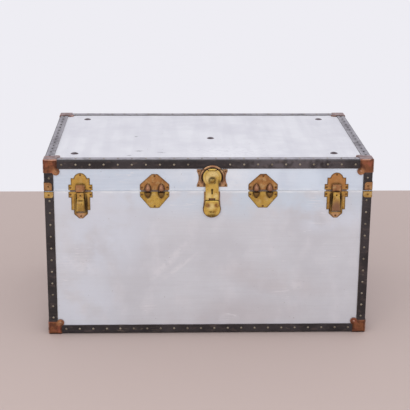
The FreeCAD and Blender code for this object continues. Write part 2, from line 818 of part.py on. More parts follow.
def lock_lid_plate():
    """Waisted plate with an arched collar round the hasp and two ears for its pin."""
    x = lock_x
    middle = (lock_plate_high + lock_plate_low) / 2
    half = [(0, lock_plate_high), (lock_plate_half, lock_plate_high),
            (lock_plate_half, lock_plate_high - lock_plate_shoulder),
            ((lock_plate_waist, middle), (lock_plate_half, lock_plate_low + lock_plate_shoulder)),
            (lock_plate_half, lock_plate_low), (0, lock_plate_low)]
    body = pressed_plate(half, plate, x)
    collar = disc(lock_arch_radius, 0, lock_arch_out, hasp_centre, x)
    collar = collar.makeFillet(lock_arch_round, rim_edges(collar, lock_arch_out))
    well = disc(lock_arch_radius - lock_arch_wall, plate, 2 * lock_arch_out, hasp_centre, x)
    below = block(x - lock_arch_radius, x + lock_arch_radius, front_y - 2 * lock_arch_out, front_y - plate,
                  seam_z, seam_z + hasp_centre - lock_arch_drop)
    under = block(x - 2 * lock_arch_radius, x + 2 * lock_arch_radius, front_y - 2 * lock_arch_out, front_y,
                  seam_z - lock_arch_radius, seam_z + lock_plate_low)
    collar = cut(collar, [well, below, under])
    pin_out, pin_z = hasp_pin_place()
    r = hasp_knuckle_radius
    ear = [(0, pin_z - r), (pin_out, pin_z - r), (pin_out, pin_z + r), (0, pin_z + r)]
    ears = []
    for side in END_SIGNS:
        inner = x + side * (hasp_knuckle_half + hasp_ear_gap)
        outer = inner + side * hasp_ear_wall
        u0, u1 = min(inner, outer), max(inner, outer)
        ears.append(front_rod(r, pin_out, pin_z, u0, u1))
        ears.append(side_section(ear, u0, u1))
    whole = fuse([body, collar] + ears)
    edge = block(x - 2 * lock_arch_radius, x + 2 * lock_arch_radius, front_y - binding, front_y,
                 top_z - binding_leg, top_z)
    hole = front_rod(hasp_pin_radius, pin_out, pin_z, x - lock_arch_radius, x + lock_arch_radius)
    return cut(whole, [edge, hole])


def hasp_pin():
    pin_out, pin_z = hasp_pin_place()
    reach = hasp_knuckle_half + hasp_ear_gap + hasp_ear_wall
    return front_rod(hasp_pin_radius, pin_out, pin_z, lock_x - reach, lock_x + reach)


def keyhole(n0, n1):
    """Round eye with a slot below it."""
    x = lock_x
    eye = disc(keyhole_radius, n0, n1, keyhole_z, x)
    slot = block(x - keyhole_slot_half, x + keyhole_slot_half, front_y - n1, front_y - n0,
                 seam_z + keyhole_z - keyhole_slot, seam_z + keyhole_z)
    return eye.fuse(slot)


def hasp():
    """Round-headed strap that hangs from its pin over the seam, with the staple and lock case behind it."""
    x = lock_x
    meet = hasp_centre - math.sqrt(hasp_radius ** 2 - hasp_half ** 2)
    half = [(0, hasp_centre + hasp_radius), ((hasp_radius, hasp_centre), (hasp_half, meet)),
            (hasp_half, -hasp_drop), (notch_half, -hasp_drop), (notch_half, notch_rise - hasp_drop),
            (0, notch_rise - hasp_drop)]
    strap_body = front_plate(half, hasp_back, hasp_front, x)
    strap_body = strap_body.makeChamfer(hasp_bevel, rim_edges(strap_body, hasp_front))
    ring_out = hasp_front + hasp_ring_rise
    ring = disc(hasp_ring_radius, hasp_front, ring_out, hasp_centre, x)
    ring = ring.makeChamfer(hasp_bevel, rim_edges(ring, ring_out))
    knob_z = hasp_centre - hasp_dome_drop
    well_out = ring_out - hasp_well_depth
    ring = ring.cut(disc(hasp_well_radius, well_out, 2 * ring_out, knob_z, x))
    knob = dome(hasp_dome_radius, hasp_dome_rise)
    knob.rotate(vec(0, 0, 0), vec(1, 0, 0), 90)
    knob.translate(vec(x, front_y - well_out, seam_z + knob_z))
    crown = well_out + hasp_dome_rise
    pin_out, pin_z = hasp_pin_place()
    knuckle = front_rod(hasp_knuckle_radius, pin_out, pin_z, x - hasp_knuckle_half, x + hasp_knuckle_half)
    staple = block(x - staple_half, x + staple_half, front_y - hasp_back, front_y - staple_back,
                   seam_z - staple_drop, seam_z + staple_top)
    inner = hasp_knuckle_half
    outer = inner + hasp_ear_wall + 2 * hasp_ear_gap
    ear_low = pin_z - hasp_knuckle_radius - hasp_ear_gap
    relief = []
    for u0, u1, low in ((-outer, -inner, ear_low), (-inner, inner, pin_z), (inner, outer, ear_low)):
        relief.append(block(x + u0, x + u1, front_y - 2 * crown, front_y, seam_z + low, top_z))
    bore = front_rod(hasp_pin_radius + pin_clearance, pin_out, pin_z, x - hasp_radius, x + hasp_radius)
    whole = fuse([strap_body, ring, knob, staple])
    whole = fuse([cut(whole, relief), knuckle])
    return cut(whole, [keyhole(staple_back + keyhole_floor, crown), bore])


def slide_profile():
    """Outline of the slide: straight sides that spread to a round foot."""
    radius = slide_radius
    top = -hasp_drop - slide_gap
    shoulder = radius * slide_shoulder
    meet = math.sqrt(radius ** 2 - shoulder ** 2) - slide_centre_drop
    lean = radius * ROOT_HALF
    return [(0, top), (slide_top_half, top), (shoulder, meet),
            ((lean, -slide_centre_drop - lean), (0, -slide_centre_drop - radius))]


def lock_base_profile():
    """Outline of the plate on the box: straight sides that swell to a round foot."""
    radius = slide_radius + lock_base_margin
    shoulder = radius * slide_shoulder
    meet = math.sqrt(radius ** 2 - shoulder ** 2) - slide_centre_drop
    lean = radius * ROOT_HALF
    return [(0, -fitting_seam_gap), (lock_base_half, -fitting_seam_gap), (lock_base_half, -hasp_drop),
            (shoulder, meet), ((lean, -slide_centre_drop - lean), (0, -slide_centre_drop - radius))]


def lock_base_plate():
    """Plate on the box: a recess, open at the top, for the staple, and a rail for the slide."""
    x = lock_x
    recess_half = staple_half + recess_gap
    outer = recess_half + recess_wall
    low = -staple_drop - recess_gap - recess_wall
    half = [(0, -fitting_seam_gap), (outer, -fitting_seam_gap), (outer, low), (0, low)]
    out = hasp_back - recess_gap
    walls_of_recess = front_plate(half, 0, out, x)
    pocket = block(x - recess_half, x + recess_half, front_y - 2 * out, front_y - staple_back + recess_gap,
                   seam_z - staple_drop - recess_gap, seam_z)
    body = fuse([pressed_plate(lock_base_profile(), lock_base, x), walls_of_recess]).cut(pocket)
    low = seam_z - slide_centre_drop - rail_half_length
    high = seam_z - slide_centre_drop + rail_half_length
    stem_out = lock_base + rail_step
    stem = block(x - rail_stem_half, x + rail_stem_half, front_y - stem_out, front_y - lock_base, low, high)
    head = block(x - rail_head_half, x + rail_head_half, front_y - stem_out - rail_step,
                 front_y - stem_out, low, high)
    return fuse([body, stem, head])


def lock_slide():
    """Round-edged thumb slide with a nail notch, grooved behind to run on the rail."""
    x = lock_x
    back = lock_base + slide_run_gap
    body = front_plate(slide_profile(), back, slide_front, x)
    body = body.makeFillet(slide_edge_round, rim_edges(body, slide_front))
    notch = front_rod(thumb_notch_radius, slide_front + thumb_notch_radius - thumb_notch_depth,
                      -slide_centre_drop - thumb_notch_drop, x - thumb_notch_half, x + thumb_notch_half)
    gap = slide_run_gap
    low = seam_z - slide_centre_drop - rail_half_length - gap
    high = seam_z - slide_centre_drop + rail_half_length + slide_travel + gap
    step_out = lock_base + rail_step
    stem = block(x - rail_stem_half - gap, x + rail_stem_half + gap, front_y - step_out, front_y - back,
                 low, high)
    head = block(x - rail_head_half - gap, x + rail_head_half + gap, front_y - step_out - rail_step - gap,
                 front_y - step_out + gap, low, high)
    return cut(body, [notch, stem, head])


# Hinges

def hinge_leaf_shape(x, way, spans):
    """Leaf on the back, above or below the seam, with its knuckles between the given places."""
    axis_y = back_y + knuckle_radius
    z0, z1 = sorted((seam_z, seam_z + way * hinge_leaf))
    leaf = block(x - hinge_half, x + hinge_half, back_y, back_y + plate, z0, z1)
    tips = [e for e in edges_along(leaf, vec(0, 1, 0)) if abs(e.CenterOfMass.z - seam_z) > TINY]
    leaf = leaf.makeFillet(hinge_leaf_round, tips)
    clear = knuckle_radius + knuckle_gap
    places = [-hinge_half] + [place for span in spans for place in span] + [hinge_half]
    gaps = []
    for u0, u1 in zip(places[::2], places[1::2]):
        if u1 - u0 > TINY:
            gaps.append(block(x + u0, x + u1, back_y - plate, back_y + 2 * knuckle_radius,
                              seam_z - clear, seam_z + clear))
    leaf = cut(leaf, gaps)
    barrels = [Part.makeCylinder(knuckle_radius, b - a, vec(x + a, axis_y, seam_z), vec(1, 0, 0))
               for a, b in spans]
    return fuse([leaf] + barrels)


def hinge_parts(x):
    """Lid leaf, box leaf and pin of one hinge."""
    inner = knuckle_lid_half
    outer = inner + knuckle_gap
    end = hinge_half

    def rod(radius, u0, u1):
        start = vec(x + u0, back_y + knuckle_radius, seam_z)
        return Part.makeCylinder(radius, u1 - u0, start, vec(1, 0, 0))

    lid_leaf = hinge_leaf_shape(x, 1, [(-inner, inner)])
    base_leaf = hinge_leaf_shape(x, -1, [(-end, -outer), (outer, end)])
    bore = rod(hinge_pin_radius + pin_clearance, -end, end)
    shank = rod(hinge_pin_radius, -end, end)
    head_radius = hinge_pin_radius + hinge_pin_head
    heads = [rod(head_radius, -end - hinge_pin_head, -end), rod(head_radius, end, end + hinge_pin_head)]
    return lid_leaf.cut(bore), base_leaf.cut(shank), fuse([shank] + heads)


def hinges():
    made = [hinge_parts(x) for x in (-hinge_x, 0.0, hinge_x)]
    return {
        "hinge_lid_leaves": Part.makeCompound([m[0] for m in made]),
        "hinge_base_leaves": Part.makeCompound([m[1] for m in made]),
        "hinge_pins": Part.makeCompound([m[2] for m in made]),
    }


# Handles

def handle_strap(sign):
    """Leather strap along the end of the trunk, bowed out between its loops."""
    reach = handle_half_span
    flat = reach - loop_half
    back = loop_gap
    half = strap_bow / 2

    def track(offset):
        """Right half of one face of the strap, as two arcs that meet midway, from the middle out."""
        bow = (flat ** 2 / 4 + half ** 2) / (2 * half)
        turn = 2 * math.atan(half / (flat / 2))
        lean = turn / 2
        outer = bow + offset
        inner = bow - offset
        top = strap_bow + back + offset
        first = ((outer * math.sin(lean), top - outer * (1 - math.cos(lean))),
                 (outer * math.sin(turn), top - outer * (1 - math.cos(turn))))
        low = back + offset
        second = ((flat - inner * math.sin(lean), low + inner * (1 - math.cos(lean))), (flat, low))
        return [(0, top), first, second, (reach + strap_tail, low)]

    upper = track(strap)
    lower = track(0.0)
    edges = []
    for points in (upper, lower):
        start = points[0]
        for step in points[1:]:
            arc = isinstance(step[0], tuple)
            end = step[1] if arc else step
            a, b = vec(start[1], start[0], 0), vec(end[1], end[0], 0)
            if arc:
                edges.append(Part.Arc(a, vec(step[0][1], step[0][0], 0), b).toShape())
            else:
                edges.append(Part.LineSegment(a, b).toShape())
            start = end
    tail_ends = [vec(points[-1][1], points[-1][0], 0) for points in (upper, lower)]
    edges.append(Part.LineSegment(*tail_ends).toShape())
    edges += [edge.mirror(vec(0, 0, 0), vec(0, 1, 0)) for edge in edges]
    face = Part.Face(Part.Wire(Part.__sortEdges__(edges)))
    solid = face.extrude(vec(0, 0, 2 * strap_half))
    long_edges = [e for e in solid.Edges if e.BoundBox.ZLength < TINY and e.Length > strap + TINY]
    solid = solid.makeChamfer(strap_edge_bevel, long_edges)
    if sign < 0:
        solid = solid.mirror(vec(0, 0, 0), vec(1, 0, 0))
    solid.translate(vec(sign * skin_x, centre_y, handle_z - strap_half))
    return solid


def handle_loop(sign, y):
    """Pressed loop that bridges the strap, with a foot above and below it."""
    inner = strap_half + loop_gap
    outer = inner + loop_wall
    out = strap + 2 * loop_gap
    points = [(0, -outer - loop_foot), (loop_wall, -outer - loop_foot), (loop_wall, -outer),
              (out + loop_wall, -outer), (out + loop_wall, outer), (loop_wall, outer),
              (loop_wall, outer + loop_foot), (0, outer + loop_foot), (0, inner), (out, inner),
              (out, -inner), (0, -inner)]
    wire = Part.makePolygon([vec(sign * (skin_x + n), y - loop_half, handle_z + z)
                             for n, z in points + points[:1]])
    loop = Part.Face(wire).extrude(vec(0, 2 * loop_half, 0))
    for radius, reach in ((loop_bend + loop_wall, out + loop_wall), (loop_bend, out)):
        bends = [e for e in edges_along(loop, vec(0, 1, 0))
                 if abs(abs(e.CenterOfMass.x) - skin_x - reach) < TINY]
        loop = loop.makeFillet(radius, bends)
    return loop


def handles():
    loops = [handle_loop(sign, centre_y + side * handle_half_span)
             for sign in END_SIGNS for side in END_SIGNS]
    return {
        "handle_straps": Part.makeCompound([handle_strap(sign) for sign in END_SIGNS]),
        "handle_loops": Part.makeCompound(loops),
    }


def pair(make, x):
    return Part.makeCompound([make(-x), make(x)])


def base_nodes():
    """Everything fixed to the box."""
    panel_bottom = skin_bottom + sheet
    nodes = {"bottom_panel": level_panel(panel_bottom), "bottom_sheet": level_sheet(skin_bottom)}
    nodes.update(walls(panel_bottom, base_wall_top))
    nodes.update(wall_sheets(panel_bottom, base_wall_top))
    nodes.update(edge_bindings(bottom_z, 1))
    nodes["corner_bindings"] = corner_bindings(bottom_z, 1, base_wall_top - bottom_z)
    nodes.update(corner_caps(bottom_z, 1))
    nodes["rim_strips"] = rim_strips()
    clip_top = seam_z - clip_seam_gap
    nodes["corner_clips"] = corner_clips(base_clip_leg, base_clip_height, clip_top - base_clip_height, True)
    last_nail = clip_top - base_clip_height - nail_radius - nail_clear
    nodes["binding_nails"] = nail_rows(bottom_z, 1, last_nail)
    return {"base_" + name: shape for name, shape in nodes.items()}


def lid_nodes():
    """Everything fixed to the lid."""
    panel_top = skin_top - sheet
    nodes = {"top_panel": level_panel(panel_top - ply), "top_sheet": level_sheet(panel_top)}
    nodes.update(walls(lid_wall_bottom, panel_top))
    nodes.update(wall_sheets(lid_wall_bottom, panel_top))
    nodes.update(edge_bindings(top_z, -1))
    nodes["corner_bindings"] = corner_bindings(top_z, -1, top_z - lid_wall_bottom)
    nodes.update(corner_caps(top_z, -1))
    clip_low = seam_z + clip_seam_gap
    nodes["corner_clips"] = corner_clips(lid_clip_leg, lid_clip_height, clip_low, False)
    last_nail = clip_low + lid_clip_height + nail_radius + nail_clear
    nodes["binding_nails"] = nail_rows(top_z, -1, last_nail)
    nodes["studs"] = lid_studs()
    return {"lid_" + name: shape for name, shape in nodes.items()}


def fitting_nodes():
    """Draw bolts, dowel plates, lock, hinges and handles."""
    nodes = {
        "latch_lid_plates": pair(latch_lid_plate, latch_x),
        "latch_base_plates": pair(latch_base_plate, latch_x),
        "latch_lever_pins": pair(latch_pin, latch_x),
        "left_latch_lever": latch_lever(-latch_x),
        "right_latch_lever": latch_lever(latch_x),
        "left_latch_hook": latch_hook(-latch_x),
        "right_latch_hook": latch_hook(latch_x),
        "dowel_lid_plates": pair(dowel_lid_plate, dowel_x),
        "dowel_base_plates": pair(dowel_base_plate, dowel_x),
        "lock_lid_plate": lock_lid_plate(),
        "lock_hasp": hasp(),
        "lock_hasp_pin": hasp_pin(),
        "lock_base_plate": lock_base_plate(),
        "lock_slide": lock_slide(),
    }
    nodes.update(hinges())
    nodes.update(handles())
    return nodes


def main():
    os.makedirs(PARTS, exist_ok=True)
    nodes = {**base_nodes(), **lid_nodes(), **fitting_nodes()}
    for name, shape in nodes.items():
        bad = [i for i, solid in enumerate(shape.Solids) if not solid.isValid() or solid.Volume <= 0]
        print(name, len(shape.Solids), "solids", "BAD" if bad or not shape.Solids else "ok")
        shape.exportStep(os.path.join(PARTS, name + ".step"))


main()
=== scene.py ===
"""Metal-clad travelling trunk: its finishes, its nails and rivets, its leather handles, and the studio."""
import json
import math

import bmesh
import bpy
from mathutils import Matrix, Vector


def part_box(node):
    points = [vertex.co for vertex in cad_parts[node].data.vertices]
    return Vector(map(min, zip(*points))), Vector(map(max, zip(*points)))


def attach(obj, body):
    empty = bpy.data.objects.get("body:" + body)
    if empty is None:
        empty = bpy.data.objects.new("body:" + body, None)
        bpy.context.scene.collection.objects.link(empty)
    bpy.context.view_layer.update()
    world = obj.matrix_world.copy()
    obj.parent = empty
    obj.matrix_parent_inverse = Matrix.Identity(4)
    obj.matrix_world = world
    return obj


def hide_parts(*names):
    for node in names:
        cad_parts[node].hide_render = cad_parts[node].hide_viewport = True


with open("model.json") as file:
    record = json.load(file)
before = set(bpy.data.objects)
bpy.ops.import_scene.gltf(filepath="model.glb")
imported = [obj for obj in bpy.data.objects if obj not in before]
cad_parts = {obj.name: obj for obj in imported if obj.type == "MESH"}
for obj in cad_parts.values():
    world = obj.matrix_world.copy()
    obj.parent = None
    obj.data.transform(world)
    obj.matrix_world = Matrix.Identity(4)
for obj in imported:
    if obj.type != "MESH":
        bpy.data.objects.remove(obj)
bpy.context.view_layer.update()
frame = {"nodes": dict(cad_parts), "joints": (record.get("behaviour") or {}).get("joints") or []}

# Sizes, in metres unless a name or a comment says otherwise

MM = 0.001
nodes = frame["nodes"]
pivots = {joint["name"]: Vector(joint["pos_m"]) for joint in frame["joints"] if joint["type"] == "hinge"}
seam = pivots["lid_hinge"].z
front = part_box("base_front_sheet")[0].y
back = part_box("base_back_sheet")[1].y
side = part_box("base_end_sheets")[1].x
middle_y = (front + back) / 2
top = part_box("lid_top_sheet")[1].z
centre = Vector((0, middle_y, top / 2))

PLATE_THICK = 1.5 * MM
CAP_WALL = 1.6 * MM
LOOP_WALL = 1.6 * MM


# Small tools

def linear(shade):
    """Linear colour of an sRGB hex value."""
    parts = [int(shade[at:at + 2], 16) / 255 for at in (1, 3, 5)]
    return [part / 12.92 if part <= 0.04045 else ((part + 0.055) / 1.055) ** 2.4 for part in parts] + [1.0]


def add(tree, kind, inputs=None, **settings):
    """Adds one node: settings are its properties, and each input is a plain value or an output to link."""
    node = tree.nodes.new(kind)
    for name, value in settings.items():
        setattr(node, name, value)
    for key, value in (inputs or {}).items():
        if isinstance(value, bpy.types.NodeSocket):
            tree.links.new(value, node.inputs[key])
        else:
            node.inputs[key].default_value = value
    return node


def bare_finish(name, **sockets):
    """A new material with its shader, and the place on the piece that its patterns read."""
    material = bpy.data.materials.new(name)
    material.use_nodes = True
    tree = material.node_tree
    tree.nodes.clear()
    inputs = {key.replace("_", " "): value for key, value in sockets.items()}
    shader = add(tree, "ShaderNodeBsdfPrincipled", inputs)
    add(tree, "ShaderNodeOutputMaterial", {"Surface": shader.outputs[0]})
    place = add(tree, "ShaderNodeTexCoord").outputs["Object"]
    return material, tree, shader, place


def facing(tree, axis, low, high):
    """Mask of the faces of a piece that look along one axis: none where that part of its normal is under low,
    full where it is over high."""
    normal = add(tree, "ShaderNodeTexCoord").outputs["Normal"]
    part = add(tree, "ShaderNodeSeparateXYZ", {0: normal}).outputs[axis]
    return add(tree, "ShaderNodeMapRange", {"Value": part, "From Min": low, "From Max": high}).outputs[0]


def flanks(tree, axis, low, high):
    """Mask of the faces of a piece that look either way along one axis."""
    return add(tree, "ShaderNodeMath", {0: facing(tree, axis, low, high), 1: facing(tree, axis, -low, -high)},
               operation="ADD").outputs[0]


def overlap(tree, *masks):
    """Mask of where all of these masks meet."""
    shared = masks[0]
    for mask in masks[1:]:
        shared = add(tree, "ShaderNodeMath", {0: shared, 1: mask}, operation="MULTIPLY").outputs[0]
    return shared


def patches(tree, place, size, low, high, shift=0.0, stretch=(1, 1, 1), detail=3.0):
    """Mask of soft patches, size mm across: none where the noise is under low, full where it is over high."""
    moved = add(tree, "ShaderNodeMapping", {"Vector": place, "Location": (shift, shift, shift),
                                            "Scale": stretch})
    noise = add(tree, "ShaderNodeTexNoise", {"Vector": moved.outputs[0], "Scale": 1 / (size * MM),
                                             "Detail": detail})
    return add(tree, "ShaderNodeMapRange", {"Value": noise.outputs["Fac"], "From Min": low, "From Max": high},
               interpolation_type="SMOOTHSTEP").outputs[0]


def scratches(tree, place, spacing, length, turn, shift):
    """Mask of hairline scratches about length mm long: stretched noise, kept where it crosses its middle."""
    gone, full = 0.02, 0.004
    moved = add(tree, "ShaderNodeMapping", {"Vector": place, "Location": (shift, shift, shift),
                                            "Rotation": turn, "Scale": (spacing / length, 1, 1)})
    noise = add(tree, "ShaderNodeTexNoise", {"Vector": moved.outputs[0], "Scale": 1 / (spacing * MM),
                                             "Detail": 1.0})
    away = add(tree, "ShaderNodeMath", {0: noise.outputs["Fac"], 1: 0.5}, operation="SUBTRACT")
    near = add(tree, "ShaderNodeMath", {0: away.outputs[0]}, operation="ABSOLUTE")
    line = add(tree, "ShaderNodeMapRange", {"Value": near.outputs[0], "From Min": gone, "From Max": full})
    return overlap(tree, line.outputs[0], patches(tree, place, length * 0.6, 0.56, 0.66, shift + 3.1))


def marks(tree, place, spots):
    """Mask of single marks, each given as its middle, turn and reach in mm: full over the inner quarter of
    its reach and gone at the end of it."""
    core = 0.25
    mask = 0.0
    for middle, turn, reach in spots:
        near = add(tree, "ShaderNodeMapping", {"Vector": place, "Location": [part * MM for part in middle],
                                               "Rotation": turn, "Scale": [part * MM for part in reach]},
                   vector_type="TEXTURE")
        away = add(tree, "ShaderNodeVectorMath", {0: near.outputs[0]}, operation="LENGTH")
        mark = add(tree, "ShaderNodeMapRange", {"Value": away.outputs["Value"], "From Min": 1.0,
                                                "From Max": core}, interpolation_type="SMOOTHSTEP")
        mask = add(tree, "ShaderNodeMath", {0: mark.outputs[0], 1: mask}, operation="MAXIMUM").outputs[0]
    return mask


def stain_coats(tree, place, rows, *frays):
    """Coats of single stains, from rows of shade, strength and marks; frays are masks that break them up."""
    return [(overlap(tree, marks(tree, place, spots), *frays), shade, strength)
            for shade, strength, spots in rows]


def proud(tree, place, low, high):
    """Mask of what stands out from the trunk's front: none at low mm and full at high mm."""
    depth = add(tree, "ShaderNodeSeparateXYZ", {0: place}).outputs["Y"]
    return add(tree, "ShaderNodeMapRange", {"Value": depth, "From Min": front - low * MM,
                                            "From Max": front - high * MM}).outputs[0]


def edge_band(tree, width):
    """Mask of a piece's edges, width mm wide: where the rounded normal leaves the flat one."""
    untouched, grey_sheen = 0.995, 0.88
    rounded = add(tree, "ShaderNodeBevel", {"Radius": width * MM}, samples=6)
    flat = add(tree, "ShaderNodeNewGeometry")
    match = add(tree, "ShaderNodeVectorMath", {0: rounded.outputs[0], 1: flat.outputs["Normal"]},
                operation="DOT_PRODUCT")
    return add(tree, "ShaderNodeMapRange", {"Value": match.outputs["Value"], "From Min": untouched,
                                            "From Max": grey_sheen}).outputs[0]


def crevices(tree, depth):
    """Mask of inner corners within depth mm, from ambient occlusion: where colours laid on it darken the
    corners.
    """
    clear, choked = 0.9, 0.45
    sky = add(tree, "ShaderNodeAmbientOcclusion", {"Distance": depth * MM}, samples=8)
    return add(tree, "ShaderNodeMapRange", {"Value": sky.outputs["AO"], "From Min": clear,
                                            "From Max": choked}).outputs[0]


def folds(tree, low, high):
    """Mask of the rounded folds of a pressing, where its normal leaves all three axes."""
    normal = add(tree, "ShaderNodeTexCoord").outputs["Normal"]
    part = add(tree, "ShaderNodeVectorMath", {0: normal}, operation="ABSOLUTE")
    lean = add(tree, "ShaderNodeVectorMath", {0: part.outputs[0], 1: (1, 1, 1)}, operation="DOT_PRODUCT")
    return add(tree, "ShaderNodeMapRange", {"Value": lean.outputs["Value"], "From Min": low,
                                            "From Max": high}).outputs[0]


def border(tree, place, x, shapes):
    """Mask of the border of two plates, x mm either side of the trunk's middle: what lies outside all of the
    inner shapes, each given as its form, its height above the seam and its half sizes in mm."""
    blur = 0.04
    spot = add(tree, "ShaderNodeSeparateXYZ", {0: place})
    aside = add(tree, "ShaderNodeMath", {0: spot.outputs["X"]}, operation="ABSOLUTE")
    level = add(tree, "ShaderNodeCombineXYZ", {"X": aside.outputs[0], "Z": spot.outputs["Z"]})
    outside = 1.0
    for form, up, half, tall in shapes:
        near = add(tree, "ShaderNodeMapping", {"Vector": level.outputs[0],
                                               "Location": (x * MM, 0, seam + up * MM),
                                               "Scale": (half * MM, 1, tall * MM)}, vector_type="TEXTURE")
        away = add(tree, "ShaderNodeVectorMath", {0: near.outputs[0]}, operation="ABSOLUTE").outputs[0]
        if form == "round":
            reach = add(tree, "ShaderNodeVectorMath", {0: away}, operation="LENGTH").outputs["Value"]
        else:
            part = add(tree, "ShaderNodeSeparateXYZ", {0: away}).outputs
            reach = add(tree, "ShaderNodeMath", {0: part["X"], 1: part["Z"]},
                        operation="MAXIMUM" if form == "box" else "ADD").outputs[0]
        past = add(tree, "ShaderNodeMapRange", {"Value": reach, "From Min": 1 - blur, "From Max": 1 + blur})
        outside = overlap(tree, past.outputs[0], outside)
    return outside


def behind_plate_brown(tree, place, plates):
    """Coats of brown on what lies under the brass plates, in the gap where they meet at the seam; each plate
    is given as its distance from the trunk's middle and its half length in mm."""
    seam_half = 6
    layers = []
    for x, half in plates:
        clear = border(tree, place, x, [("box", 0, half, seam_half)])
        covered = add(tree, "ShaderNodeMath", {0: 1.0, 1: clear}, operation="SUBTRACT")
        layers.append((overlap(tree, covered.outputs[0], proud(tree, place, -10, -2)), "#735030", 0.85))
    return layers


def coats(tree, ground, *layers):
    """Colour of a surface: layers of (mask, shade, strength) laid over its ground shade in turn."""
    colour = linear(ground)
    for mask, shade, strength in layers:
        share = add(tree, "ShaderNodeMath", {0: mask, 1: strength}, operation="MULTIPLY")
        colour = add(tree, "ShaderNodeMix", {0: share.outputs[0], 6: colour, 7: linear(shade)},
                     data_type="RGBA").outputs[2]
    return colour


def dress(tree, shader, colour, gloss, height, depth):
    """Links colour, roughness between the two ends of gloss = (mask, low, high), and relief depth mm deep."""
    mask, low, high = gloss
    rough = add(tree, "ShaderNodeMapRange", {"Value": mask, "To Min": low, "To Max": high})
    bump = add(tree, "ShaderNodeBump", {"Height": height, "Distance": depth * MM})
    tree.links.new(colour, shader.inputs["Base Color"])
    tree.links.new(rough.outputs[0], shader.inputs["Roughness"])
    tree.links.new(bump.outputs[0], shader.inputs["Normal"])


# Directions of scratches, and how far streaks and grain are drawn out

ACROSS = (0, math.radians(90), 0)
SLANT = (0, math.radians(38), 0)
ON_TOP = (0, 0, math.radians(97))
ALONG_X = (0.06, 1, 1)
ALONG_Y = (1, 0.06, 1)
LEVEL = (0.05, 0.05, 1)
TOP_STREAKS = (1, 0.1, 1)

# Single marks of wear, and of painted light and shade, in mm

CAP_HALF = 18
CAP_REACH = 37
CAP_FOOT_IN = 16
EAR_IN = 32
EAR_OFF = 15
NAIL_IN = 12

front_mm = front / MM
top_mm = top / MM
seam_mm = seam / MM
lock_mm = pivots["hasp_turn"].x / MM
latch_mm = pivots["right_lever_turn"].x / MM
dowel_mm = 138.5
cap_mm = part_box("lid_front_right_cap")[1].x / MM
lid_cap_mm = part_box("lid_front_right_cap")[1].z / MM - CAP_HALF
base_cap_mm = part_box("base_front_right_cap")[0].z / MM + CAP_HALF


def front_mark(x, z, reach, turn=0):
    """A mark on the trunk's front: its middle, its reach along x, y and z, and its turn in degrees."""
    return (x, front_mm, z), (0, math.radians(turn), 0), reach


def top_mark(x, y, reach, turn=0):
    """A mark on the lid's top, given in the same way."""
    return (x, y, top_mm), (0, 0, math.radians(turn)), reach


# On the aluminium and the fibre
WIPED = [front_mark(-100, 205, (105, 40, 15), -47),
         front_mark(-72, 190, (70, 40, 9), -40),
         front_mark(-330, 190, (75, 40, 30), 20),
         front_mark(232, 135, (24, 40, 21)),
         front_mark(198, 202, (9, 40, 2.4))]
# Cleaned patches, and last a painted bluish sheen over the upper base front along the seam
CLEAN_PATCHES_AND_SHEEN = [front_mark(-300, 270, (230, 40, 170), -20),
           front_mark(-360, 90, (190, 40, 150)),
           front_mark(320, 320, (160, 40, 60)),
           front_mark(-340, seam_mm, (500, 40, 120))]
# Painted bluish sheen on the upper base front
UPPER_FRONT_SHEEN = [front_mark(150, seam_mm - 10, (480, 40, 90))]
# Painted highlight along the seam, on the sheets above and below it
SEAM_GLINT = [front_mark(0, seam_mm, (1600, 40, 9))]
# Painted warm reflection of the floor on the base front
WARM_FLOOR_REFLECTION = [front_mark(70, 25, (330, 40, 105)), front_mark(180, 150, (190, 40, 60), 12)]
SCUFFED = [top_mark(-179, -168, (15, 7, 20), 4),
           top_mark(-190, -13, (7, 6, 20)),
           top_mark(-122, -183, (17, 4, 20), -12),
           top_mark(-204, -212, (9, 4, 20), 10)]
PALE_LID = [front_mark(190, seam_mm + 40, (340, 40, 90))]
# Painted highlight on the lid front about the lock
LID_GLINT = [front_mark(lock_mm, seam_mm + 42, (165, 40, 95))]
PALE_TOP = [top_mark(60, -180, (190, 90, 40))]
# Painted grey reflection on the right of the lid's front binding
BINDING_SHEEN = [front_mark(210, top_mm - 12, (200, 30, 50))]
# Painted nail shadows: dark bands along the nails at the lid top's two ends, on the fibre and on the nail
# heads
NAIL_SHADE_LINES = [top_mark(way * (side / MM - NAIL_IN), middle_y / MM, (10, 700, 14)) for way in (1, -1)]

# On the corner caps
PALE_EARS = [front_mark(way * (cap_mm - EAR_IN), level, (13, 60, 13))
             for way, level in ((-1, lid_cap_mm - EAR_OFF), (-1, base_cap_mm + EAR_OFF),
                                (1, lid_cap_mm - EAR_OFF))]
# Painted shade along the outer and inner edges of the corner caps' fronts, and at their feet by the floor
CAP_SIDE_SHADE = [front_mark(way * (cap_mm - into), level, (9, 60, 24))
              for way in (1, -1) for level in (lid_cap_mm, base_cap_mm) for into in (0, CAP_REACH)]
CAP_SIDE_SHADE += [front_mark(way * (cap_mm - CAP_FOOT_IN), 0, (30, 60, 9)) for way in (1, -1)]

# On the draw bolts
COPPERY = [front_mark(latch_mm, seam_mm - 46, (30, 60, 36))]
OLIVE = [front_mark(-latch_mm, seam_mm - 46, (15, 40, 22))]
# Painted shadows beside the levers and hooks of the draw bolts, along the seam and under the left lever
LEVER_SHADOW_SPOTS = [front_mark(14 - latch_mm, seam_mm - 36, (9, 60, 34)),
          front_mark(14 - latch_mm, seam_mm, (10, 60, 8)),
          front_mark(-latch_mm, seam_mm - 55, (18, 60, 5)),
          front_mark(latch_mm - 13, seam_mm - 20, (6, 60, 30)),
          front_mark(latch_mm + 12, seam_mm - 18, (4, 60, 26)),
          front_mark(latch_mm, seam_mm + 0.5, (14, 60, 4))]
TIPS = [front_mark(way * latch_mm, seam_mm - 66, (22, 60, 13)) for way in (1, -1)]
# Painted shade in the step across the left lever
LEVER_STEP_SHADE = [front_mark(-latch_mm, seam_mm - 23, (14, 60, 3.5))]
BROWNED = [front_mark(latch_mm, seam_mm + 30, (60, 60, 48))]
YELLOWED = [front_mark(-latch_mm, seam_mm + 12, (50, 60, 90))]

